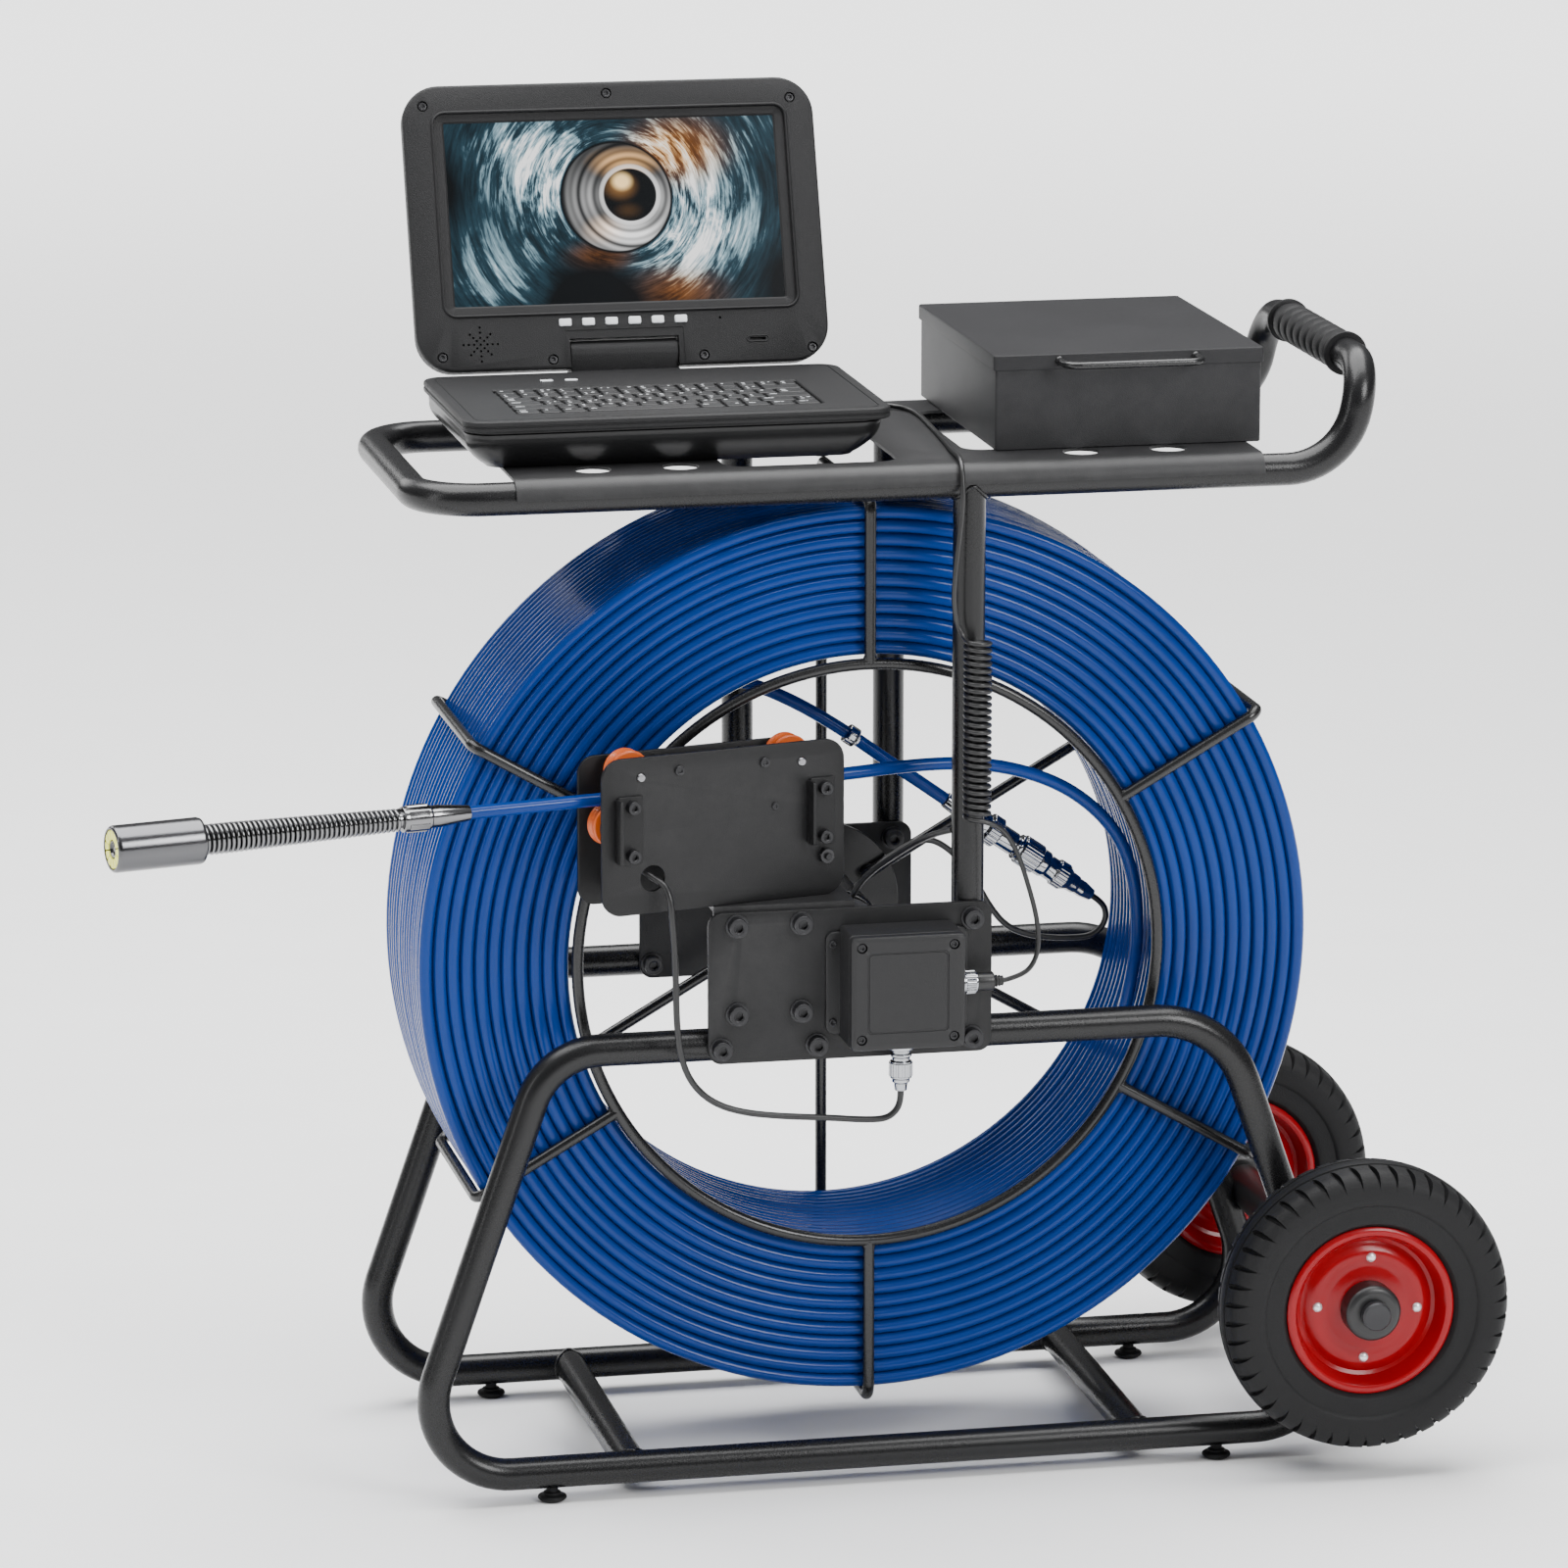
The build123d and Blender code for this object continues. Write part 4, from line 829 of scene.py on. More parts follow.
def cage():
    """Six bent rods round the coil, with a ring on the front."""
    inner, outer, half = 201, 312.6, 77.6

    def build(bm):
        ring = [reel(360 * i / 180, inner, -half) for i in range(180)]
        rod(bm, ring, CAGE_R, 20, closed=True)
        for angle in (90, 30, -30, -90, -150, 150):
            corners = [reel(angle, inner, -half), reel(angle, outer, -half), reel(angle, outer, half),
                       reel(angle, 34, half)]
            rod(bm, bent(corners, 9), CAGE_R, 20)
            weld(bm, reel(angle, 204.2, -half), Vector((0, 1, 0)), CAGE_R)
            weld(bm, reel(angle, 55, 79.6), Vector((0, 1, 0)), 3.4)
    piece("reel_cage_rods", build, WIRE_PAINT, "reel", "reel_cage", 50)


def weld(bm, at, normal, size):
    """A small flattened bead of weld."""
    place = axes(at, normal)
    outline = [(0, -size * 0.9)] + [(size * 1.25 * sin(pi * k / 8), -size * 0.9 * cos(pi * k / 8)) for k in
                                    range(1, 8)] + [(0, size * 0.9)]
    spin(bm, outline, place, 16)


def hub():
    """The reel's hub: a sleeve with a bolted disc at the back."""
    place = axes(P(REEL_X, 0, REEL_Z), (0, 1, 0))

    def build(bm):
        spin(bm, soften([(10.05, 2), (23, 2), (25, 4), (25, 81.7), (56, 81.7), (56, 85.7), (25, 85.7),
                         (19, 93.7), (10.05, 93.7)], 0.9), place, 96, closed=True)
        for k in range(6):
            a = radians(60 * k + 30)
            at = P(REEL_X + 40 * cos(a), 81.7, REEL_Z + 40 * sin(a))
            socket_screw(bm, at, (0, -1, 0), 5, 4, 24)
    piece("reel_hub_turned", build, TUBE_PAINT, "reel", "reel_hub")


windings()
cage()
hub()

# ---------------------------------------------------------------- wheels

LUGS = 46


def tyre(side, name):
    """Tyre with slanted wedge-shaped slots cut into both shoulders and two grooves round the crown."""
    place = axes(P(WHEEL_X, side * WHEEL_Y, WHEEL_Z), (0, 1, 0), (1, 0, 0))
    base = [(58, -17), (60, -19.5), (61.5, -21.6), (63, -22.2), (66, -22.4), (72, -22.7), (74, -23),
            (75.2, -24.2), (76.5, -24.7), (80, -24.9), (85, -25), (88, -24.8), (91, -24), (94, -22),
            (96.6, -18.6), (97.8, -15.6), (98.4, -12.4), (98.9, -10.2), (99.4, -8.2), (99.2, -7.6),
            (97.0, -7.2), (97.0, -5.4), (99.4, -5.0), (99.9, -2.4), (100, 0)]
    outline = base + [(r, -h) for r, h in reversed(base[:-1])]
    open_by = {11: 0.12, 12: 0.5, 13: 0.8, 14: 1.0, 15: 1.0, 16: 1.0, 17: 0.8}
    places = [0.0, 0.25, 0.5, 0.7, 0.75, 0.95]

    def build(bm):
        rings = []
        for lug in range(LUGS):
            for i, part in enumerate(places):
                ring = []
                for j, (r, h) in enumerate(outline):
                    row = min(j, len(outline) - 1 - j)
                    wide = open_by.get(row, 0.0)
                    shift = part
                    if i != 1 and i != 2 and 10 <= row <= 18:
                        middle = 0.85 if i else -0.15
                        shift = middle + (part - middle) * max(wide, 0.12)
                    slant = (row - 10) * 0.045 * (-1 if j == row else 1) if 10 < row <= 18 else 0
                    if i > 3:
                        r, h = r - 3.2 * wide, h * (1 - 0.1 * wide)
                    ring.append(polar(place, r, 2 * pi * (lug + shift + slant) / LUGS, h))
                rings.append(ring)
        skin(bm, rings, closed_path=True)
    piece(f"tyre_tread_{name}", build, TYRE_RUBBER, f"wheel_{name}",
          f"tyre_{name}", 28)


def rim(side, name):
    """Red pressed dish with a stepped face, rivets and a black hub."""
    place = axes(P(WHEEL_X, side * WHEEL_Y, WHEEL_Z), (0, 1, 0), (1, 0, 0))
    half = [(19.3, 12.5), (24, 12), (27.5, 10.8), (30, 10.2), (33, 10.8), (37, 11.2), (41, 10.2),
            (43.5, 7.8), (46, 7), (48.5, 8.2), (50.5, 13), (52, 18), (53, 20), (55, 20.8), (57, 20.4),
            (58.6, 19), (58.6, 16)]
    outline = [(r, -h) for r, h in half] + [(r, h) for r, h in reversed(half)]

    def build(bm):
        spin(bm, outline, place, 128, closed=True)

    piece(f"rim_dish_{name}", build, RIM_RED, f"wheel_{name}",
          f"rim_{name}", 40)

    def sleeve(bm):
        for s in (-1, 1):
            spin(bm, soften([(8.05, 28.9), (15, 28.9), (17.5, 28), (19.4, 26), (19.4, 12), (8.05, 12)],
                            0.8), axes(P(WHEEL_X, side * WHEEL_Y, WHEEL_Z), (0, s, 0)), 64, closed=True)
    piece(f"wheel_hub_{name}", sleeve, LEAD_BLACK, f"wheel_{name}")

    dome = [(3.4 * cos(pi / 2 * t / 5), 2.4 * sin(pi / 2 * t / 5)) for t in range(5)]
    dome = [(0, -1)] + dome + [(0, 2.4)]

    def rivets(bm):
        for s in (-1, 1):
            for k in range(4):
                at = polar(place, 35.2, pi / 2 * k + 0.06, s * 10.9)
                spin(bm, dome, axes(at, (0, s, 0)), 20)
    piece(f"rim_rivets_{name}", rivets, RIVET, f"wheel_{name}")


for wheel_side, wheel_name in ((-1, "front"), (1, "back")):
    tyre(wheel_side, wheel_name)
    rim(wheel_side, wheel_name)

# ---------------------------------------------------------------- tube frame

def frame_tubes():
    """The two side frames, their crossbars and the axle's tube, with a bead of weld at each joint."""
    def sides(bm):
        for y in (-LOOP_Y, LOOP_Y):
            corners = [P(-334, y, BAR_Z), P(-232.5, y, LOOP_TOP), P(232.5, y, LOOP_TOP), P(334, y, BAR_Z)]
            rod(bm, bent(corners, [53, 50, 66, 53], closed=True), TUBE_R, 36, closed=True)
    piece("side_frame_tubes", sides, TUBE_PAINT, "cart", "side_frames", 60)

    def bars(bm):
        for x in (-176.5, 176.5):
            rod(bm, [P(x, -LOOP_Y, BAR_Z), P(x, LOOP_Y, BAR_Z)], BAR_R, 36)
            for s in (-1, 1):
                saddle(bm, P(x, s * LOOP_Y, BAR_Z), Vector((1, 0, 0)), Vector((0, -s, 0)), 11, 11)
        for s in (-1, 1):
            place = axes(P(WHEEL_X, 0, WHEEL_Z), (0, s, 0))
            spin(bm, soften([(8, 0), (8, 136.4), (14, 136.4), (14, 0)], 0.5), place, 48)
    piece("cross_tube_set", bars, TUBE_PAINT, "cart", "cross_tubes", 40)


def saddle(bm, at, run, out, big, small):
    """A weld bead where a tube of radius small meets one of radius big, which runs along run."""
    across = out.cross(run).normalized()
    path = []
    for k in range(48):
        a = 2 * pi * k / 48
        x, y = small * cos(a), small * sin(a)
        y_fit = max(-big * 0.985, min(big * 0.985, y))
        path.append(at + (run * x + across * y + out * sqrt(big * big - y_fit * y_fit)) * MM)
    rng = random.Random(int(at.x * 1e4) + int(at.z * 1e4))
    radii = [1.35 + rng.uniform(-0.12, 0.12) for _ in path]
    skin(bm, sweep_rings(path, radii, 10, True), closed_path=True)


def post_set():
    """One post in front and two behind, welded to the side frames and the tray."""
    def build(bm):
        for x, y in ((54, -LOOP_Y), (54, LOOP_Y), (-54, LOOP_Y)):
            rod(bm, [P(x, y, LOOP_TOP), P(x, y, TRAY_Z)], BAR_R, 40)
            saddle(bm, P(x, y, LOOP_TOP), Vector((1, 0, 0)), Vector((0, 0, 1)), 11, 11)
            saddle(bm, P(x, y, TRAY_Z), Vector((1, 0, 0)), Vector((0, 0, -1)), 11, 11)
    piece("post_tubes", build, TUBE_PAINT, "cart", "posts", 50)


def tray_tube():
    """The bent tube round the tray, which rises into the handle."""
    y = LOOP_Y

    def build(bm):
        corners = [P(-313.6, -y, TRAY_Z), P(311.5, -y, TRAY_Z), P(HANDLE_X, -y, HANDLE_Z),
                   P(HANDLE_X, y, HANDLE_Z), P(311.5, y, TRAY_Z), P(-313.6, y, TRAY_Z)]
        rod(bm, bent(corners, [42, 48, 29, 29, 48, 42], closed=True), TUBE_R, 36, closed=True)
    piece("tray_tube", build, TUBE_PAINT, "cart", "tray_loop", 60)


def grip():
    """Rubber sleeve with rounded rings on the handle's bar."""
    outline = [(11.02, -73), (14.6, -73), (15, -72.4), (15, -69.6), (14.4, -69), (12.2, -68.6), (12.2, -66)]
    count, start, end = 8, -65.5, 65.5
    pitch = (end - start) / count
    for i in range(count):
        y = start + i * pitch
        outline += [(12.5, y), (13.3, y + 0.9), (13.6, y + 2.2), (13.7, y + pitch * 0.4),
                    (13.6, y + pitch - 5.2), (13.3, y + pitch - 3.9), (12.5, y + pitch - 3.0),
                    (12.3, y + pitch - 1.5)]
    outline += [(12.2, 66), (12.2, 68.6), (14.4, 69), (15, 69.6), (15, 72.4), (14.6, 73), (11.02, 73)]
    place = axes(P(HANDLE_X, 0, HANDLE_Z), (0, 1, 0))
    piece("grip_sleeve", lambda bm: spin(bm, outline, place, 56, closed=True), GRIP_RUBBER, "cart",
          "handle_grip", 40)


frame_tubes()
post_set()
tray_tube()
grip()

# ---------------------------------------------------------------- camera head

def camera_head():
    """Ferrule, coil spring, barrel, lens and lamps, along the push cable's line towards its free end."""
    place = axes(G(0, CABLE_DEPTH, CABLE_Z), (-cos(GUIDE_YAW), -sin(GUIDE_YAW), 0), (0, 0, 1))

    def ferrule(bm):
        outline = [(4.52, 178), (5.3, 178), (7.5, 200), (7.5, 206), (8.5, 206.8), (8.5, 225.4), (7.9, 226),
                   (0, 226), (0, 190), (4.52, 190)]
        spin(bm, soften(outline, 0.5), place, 64)
        for k in range(6):
            a = 2 * pi * k / 6
            turn = Matrix.Rotation(a, 4, "Z")
            groove = [(-2.2, 208.5), (-2.2, 222.5), (2.2, 222.5), (2.2, 208.5)]
            rows = []
            for lift, wide in ((0.0, 1.0), (0.75, 0.86), (0.8, 0.6)):
                rows.append([place @ turn @ Vector(((8.3 + lift) * MM, x * wide * MM,
                                                    (215.5 + (h - 215.5) * (0.9 + 0.1 * wide)) * MM))
                             for x, h in groove])
            skin(bm, rows)
    piece("ferrule_turned", ferrule, SPRING_STEEL, "cart", "cable_ferrule", 30)

    def spring(bm):
        turns, per = 40, 22
        path = []
        for i in range(turns * per + 1):
            t = i / (turns * per)
            a = 2 * pi * i / per
            r = 6.4 + 2.7 * min(1.0, max(0.0, t * 1.15)) ** 0.9
            path.append(polar(place, r, a, 227.4 + 137.4 * t))
        rod(bm, path, 1.25, 10)
        spin(bm, [(0, 226), (5.6, 226), (8.0, 366), (0, 366)], place, 40)
    piece("spring_coil", spring, SPRING_STEEL, "cart", "head_spring", 60)

    def body(bm):
        outline = [(0, 365.8), (10.5, 365.8), (13.6, 366.0), (14.9, 366.8), (15.5, 368.6), (15.5, 425.6),
                   (15.1, 427.0), (14.2, 427.9), (13.3, 428), (13.0, 427.6), (13.0, 424.2), (0, 424.2)]
        spin(bm, soften(outline, 0.35), place, 96)
    piece("head_barrel", body, TURNED, "cart", "head_body", 30)

    def ring(bm):
        spin(bm, soften([(5.6, 424), (12.9, 424), (12.9, 426.2), (12.4, 426.5), (6.2, 426.5), (5.6, 426)],
                        0.3), place, 72, closed=True)
    piece("lamp_ring_seat", ring, DARK_HOLE, "cart", "camera_lens")

    def lamps(bm):
        for k in range(12):
            centre = 2 * pi * k / 12
            rows = []
            for h, grow in ((426.0, 1.0), (427.1, 1.0), (427.5, 0.86)):
                row = []
                for rr, aa in ((6.4, -0.2), (6.4, 0.0), (6.4, 0.2), (9.4, 0.225), (12.4, 0.235),
                               (12.75, 0.12), (12.8, 0.0), (12.75, -0.12), (12.4, -0.235), (9.4, -0.225)):
                    row.append(polar(place, 9.6 + (rr - 9.6) * grow, centre + aa * grow, h))
                rows.append(row)
            skin(bm, rows)
    piece("lamp_ring", lamps, LAMP, "cart")

    def lens(bm):
        spin(bm, soften([(0, 423.4), (5.5, 423.4), (5.5, 426.9), (4.9, 427.1), (4.2, 425.4), (3.4, 424.9)],
                        0.3) + [(2.6, 425.5), (1.4, 425.9), (0, 426.0)], place, 64)
    piece("lens_window", lens, GLASS_BLACK, "cart")


camera_head()

# ---------------------------------------------------------------- monitor

def tub():
    """Glossy lower body that swells from the tray up to the deck."""
    def build(bm):
        steps = [(-139, 1, 242, 158, 9, 701.4), (-139, 1, 247, 163, 11, 701.8),
                 (-139, 1, 250, 166, 12.5, 703.2)]
        for k in range(1, 13):
            t = k / 12
            swell = sin(t * pi / 2) ** 0.85
            steps.append((-139 + 2 * t, 1 - 3.5 * t, 250 + 30.4 * swell, 166 + 12.4 * swell, 13 + 4 * t,
                          703.2 + 18.8 * t))
        steps += [(-137, -2.5, 281, 179, 17, 723), (-137, -2.5, 281, 179, 17, 725.2),
                  (-137, -2.5, 277, 175, 15.5, 725.9), (-137, -2.5, 277, 175, 15.5, 727.2)]
        layers(bm, steps, P, 12)
        for x in (-238, -36):
            spin(bm, soften([(0, 0), (5.4, 0), (5.4, 1.1), (0, 1.1)], 0.4),
                 axes(P(x, -72, 700.6), (0, 0, 1)), 24)
    piece("monitor_tub_shell", build, TUB_BLACK, "cart", "monitor_tub",
          25)


def deck():
    """Keyboard deck: a slab with a groove round its side, an inlaid line, a key well and a knuckle."""
    cx, cy, w, h = -135.5, -2.0, 289.0, 186.0

    def build(bm):
        steps = stack(cx, cy, w, h, [
            (4, 13, 727.0), (1, 14.5, 727.4), (0, 15, 728.4), (0, 15, 730.2), (1.4, 14.3, 730.6),
            (1.4, 14.3, 731.4), (0, 15, 731.8), (0, 15, 733.2), (0.6, 14.7, 734.2), (2, 14, 734.8),
            (3.6, 13.2, 735)])
        steps += [(cx, cy, w - 15, h - 13, 8.5, 735), (cx, cy, w - 15.4, h - 13.4, 8.3, 734.5),
                  (cx, cy, w - 16.6, h - 14.6, 7.7, 734.5), (cx, cy, w - 17, h - 15, 7.5, 735)]
        steps += [(-137, -19, *size) for size in (
            (214, 100, 5, 735), (210.4, 96.4, 3.4, 734.9), (209, 95, 3, 734.2), (208, 94, 2.4, 730),
            (190, 80, 2, 729.9))]
        layers(bm, steps, P, 8)

    piece("monitor_deck_shell", build, CASE_BLACK, "cart",
          "monitor_deck", 25)

    def knuckle(bm):
        """A flat front in line with the leaning screen, and a round top and back about the hinge line."""
        outline = [(84.5, 728.5), (84.5, 734.9), (94.3, 734.9)]
        out, up = (-cos(LEAN), sin(LEAN)), (sin(LEAN), cos(LEAN))
        for t in (-3.4, -1.5, 0.0, 3.0):
            outline.append((HINGE_Y + 7.4 * out[0] + t * up[0], HINGE_Z + 7.4 * out[1] + t * up[1]))
        for k in range(1, 13):
            a = radians(180 - 20 - 26 - k * 13)
            outline.append((HINGE_Y + 8.1 * cos(a), HINGE_Z + 8.1 * sin(a)))
        outline += [(109.3, 741), (109.3, 729.5), (108.3, 728.5)]
        rows = []
        for x, shrink in ((-37.5, 0.93), (-37.1, 0.98), (-36.4, 1.0), (36.4, 1.0), (37.1, 0.98),
                          (37.5, 0.93)):
            rows.append([P(SCREEN_X + x, 99 + (y - 99) * shrink, 738 + (z - 738) * shrink)
                         for y, z in outline])
        skin(bm, rows)
    piece("hinge_knuckle", knuckle, CASE_BLACK, "cart", (), 30)


def keys():
    """Low keys with soft edges on a mat; wide keys where a keyboard has them."""
    x0, x1, y0, y1, z = -240.5, -33.5, -65.5, 27.5, 733.0
    rows = [
        [1] * 15,
        [1] * 13 + [2],
        [1.5] + [1] * 12 + [1.5],
        [1.75] + [1] * 11 + [2.25],
        [2.25] + [1] * 10 + [1.75, 1],
        [1.25, 1, 1.25, 5.5, 1.25, 1, 1.25, 1.25, 1.25],
    ]
    pitch_y = (y1 - y0) / len(rows)

    def build(bm):
        layers(bm, [((x0 + x1) / 2, (y0 + y1) / 2, x1 - x0, y1 - y0, 2, 731.8),
                    ((x0 + x1) / 2, (y0 + y1) / 2, x1 - x0, y1 - y0, 2, 733.0)], P, 2)
        for i, row in enumerate(rows):
            unit = (x1 - x0) / sum(row)
            x = x0
            cy = y1 - (i + 0.5) * pitch_y
            for wide in row:
                w, h = wide * unit - 2.2, pitch_y - 2.4
                cx = x + wide * unit / 2
                cap = [(0, 1.6, z - 0.3), (0, 1.6, z + 1.0), (0.5, 1.4, z + 1.7), (1.3, 1.1, z + 2.0),
                       (3, 0.8, z + 1.9)]
                layers(bm, stack(cx, cy, w, h, cap), P, 3)
                x += wide * unit
    piece("keyboard_mat", build, KEY_RUBBER, "keys", "keyboard_keys", 30)

    def legends(bm):
        rng = random.Random(5)
        for i, row in enumerate(rows):
            unit = (x1 - x0) / sum(row)
            x = x0
            cy = y1 - (i + 0.5) * pitch_y
            for wide in row:
                left = x + 3.4
                for dx, dy in ((0, 2.6), (0, -2.4), (4.6, 2.6)):
                    if rng.random() < (0.95, 0.45, 0.4)[(dx > 1) + (dy < 0)]:
                        long = rng.uniform(1.2, 2.6) + (2.5 if wide > 1.2 and dx < 1 else 0)
                        layers(bm, [(left + dx + long / 2, cy + dy, long, 1.15, 0.4, z + 1.9),
                                    (left + dx + long / 2, cy + dy, long, 1.15, 0.4, z + 2.07)], P, 2)
                x += wide * unit
        for cx, cy in ((-199, 56), (-182, 56)):
            layers(bm, pad_steps(cx, cy, 9, 4.6, 2.0, 734.9, 736.0, 0.5), P, 4)
    piece("key_marks", legends, BUTTON_WHITE, "keys")


SCREWS = [(-129, 185.2), (-1, 191), (127.3, 184.6), (-126.4, 10.4), (-50.2, 6.6), (54.9, 6.4), (131, 9.3)]
SPEAKER = (-99.7, 18.6)


def screen_block(x0, x1, y0, y1, z0, z1, corner=0.3):
    """A cutter for the screen's housing."""
    def build(bm):
        size = ((x0 + x1) / 2, (y0 + y1) / 2, x1 - x0, y1 - y0, corner)
        layers(bm, [(*size, z0), (*size, z1)], S, 3)
    return mesh_of("tool", build)


def screen_shell():
    """Screen housing in two halves: a bezel with a raised frame, and a crowned back."""
    mid = SCREEN_H / 2
    outward = S(0, 0, 1) - S(0, 0, 0)

    def front(bm):
        vy = VIEW_LOW + VIEW_H / 2
        steps = stack(0, mid, SCREEN_W, SCREEN_H, [
            (0.8, 25.6, 3.3), (0, 26, 3.7), (0, 26, 6.6), (0.5, 25.8, 7.6), (1.8, 25, 8.5), (4, 24, 9.0)])
        steps += [(0, vy, VIEW_W + wide, VIEW_H + tall, corner, out) for wide, tall, corner, out in (
            (19, 17, 10, 9.0), (18, 16, 9.5, 9.9), (16.6, 14.6, 9, 10.3), (15.2, 13.2, 8, 10.0),
            (14, 12, 7, 7.2), (2.4, 2.4, 2, 6.6), (0, 0, 1, 5.6), (0, 0, 1, 3.3))]
        layers(bm, steps, S, 10, closed_path=True)
    bezel = piece("screen_bezel_shell", front, CASE_BLACK, "screen",
                  "screen_bezel", 25)

    def drill(bm, x, up, r, low):
        spin(bm, [(0, low), (r, low), (r, 12), (0, 12)], axes(S(x, up, 0), outward), 16 if r < 2 else 28)

    def wells(bm):
        for x, up in SCREWS:
            drill(bm, x, up, 3.7, 6.4)
        drill(bm, *SPEAKER, 0.8, 5.8)
        for k in range(8):
            for r in ((4.6, 8.2, 11.8) if k % 2 == 0 else (3.6, 6.8, 10.0)):
                drill(bm, SPEAKER[0] + r * cos(pi * k / 4), SPEAKER[1] + r * sin(pi * k / 4), 0.8, 5.8)
        drill(bm, 67.5, 31.9, 0.9, 6.0)

    def slots(bm):
        for x in button_rows():
            layers(bm, [(x, 32, 9.3, 6.0, 1.6, 0), (x, 32, 9.3, 6.0, 1.6, 12)], S, 4)
        layers(bm, [(93, 16.5, 11.5, 1.9, 0.9, 5.5), (93, 16.5, 11.5, 1.9, 0.9, 12)], S, 5)
    cut(bezel, screen_block(-41.5, 41.5, -20, 26.5, 8.55, 30, 1.2),
        screen_block(-38, 38, -20, 20.7, -30, 30), mesh_of("tool", slots), mesh_of("tool", wells))

    def back(bm):
        steps = stack(0, mid, SCREEN_W, SCREEN_H, [
            (0.8, 25.6, 3.2), (0.8, 25.6, -3.0), (1.6, 25.2, -5.4), (4, 24, -7.2), (9, 21.5, -8.5),
            (18, 17, -9.0)])
        steps += [(0, mid + 6, SCREEN_W - 70, SCREEN_H - 80, 12, -9.0),
                  (0, mid + 6, SCREEN_W - 71, SCREEN_H - 81, 11.5, -8.4),
                  (0, mid + 6, SCREEN_W - 73, SCREEN_H - 83, 11, -8.3), (0, mid + 6, 30, 10, 4, -8.3)]
        layers(bm, steps, S, 10)
    cover = piece("screen_back_shell", back, CASE_BLACK, "screen",
                  "screen_rear_cover", 25)

    def vents(bm):
        for x in range(-66, 67, 6):
            for up in (120, 127, 134):
                layers(bm, [(x, up, 2.2, 4.6, 1.0, -12), (x, up, 2.2, 4.6, 1.0, -5.8)], S, 3)
    cut(cover, screen_block(-38, 38, -20, 20.7, -30, 30), mesh_of("tool", vents))

    def slot_rim(bm):
        path = []
        for k in range(40):
            a = 2 * pi * k / 40
            path.append(S(93 + (5.0 if cos(a) > 0 else -5.0) + 2.6 * cos(a), 16.5 + 2.0 * sin(a), 9.05))
        rod(bm, path, 0.4, 8, closed=True)
    piece("slot_rim", slot_rim, CASE_BLACK, "screen")

    def screws(bm):
        for x, up in SCREWS:
            socket_screw(bm, S(x, up, 6.2), outward, 3.0, 2.0, 20)
    piece("screen_screws", screws, BOLT_BLACK, "screen")


def button_rows():
    """Places across the screen of the six buttons."""
    return [(i - 2.5) * 16.1 for i in range(6)]


def display():
    """The lit panel behind the bezel's opening."""
    vy = VIEW_LOW + VIEW_H / 2

    def build(bm):
        layers(bm, [(0, vy, VIEW_W + 6, VIEW_H + 5, 1, 2.0), (0, vy, VIEW_W + 6, VIEW_H + 5, 1, 5.2),
                    (0, vy, VIEW_W + 5.6, VIEW_H + 4.6, 1, 5.4)], S, 2)
    piece("display_glass", build, PICTURE, "screen", "display_panel")


def screen_buttons():
    """Six pale caps, each on its own body."""
    for i, x in enumerate(button_rows()):
        def build(bm, x=x):
            layers(bm, pad_steps(x, 32, 8.7, 5.4, 1.2, 5, 10, 0.7), S, 5)
        piece(f"button_cap_{i + 1}", build, BUTTON_WHITE, f"button_{i + 1}",
              f"screen_button_{i + 1}", 40)


tub()
deck()
keys()
screen_shell()
display()
screen_buttons()

# ---------------------------------------------------------------- battery box

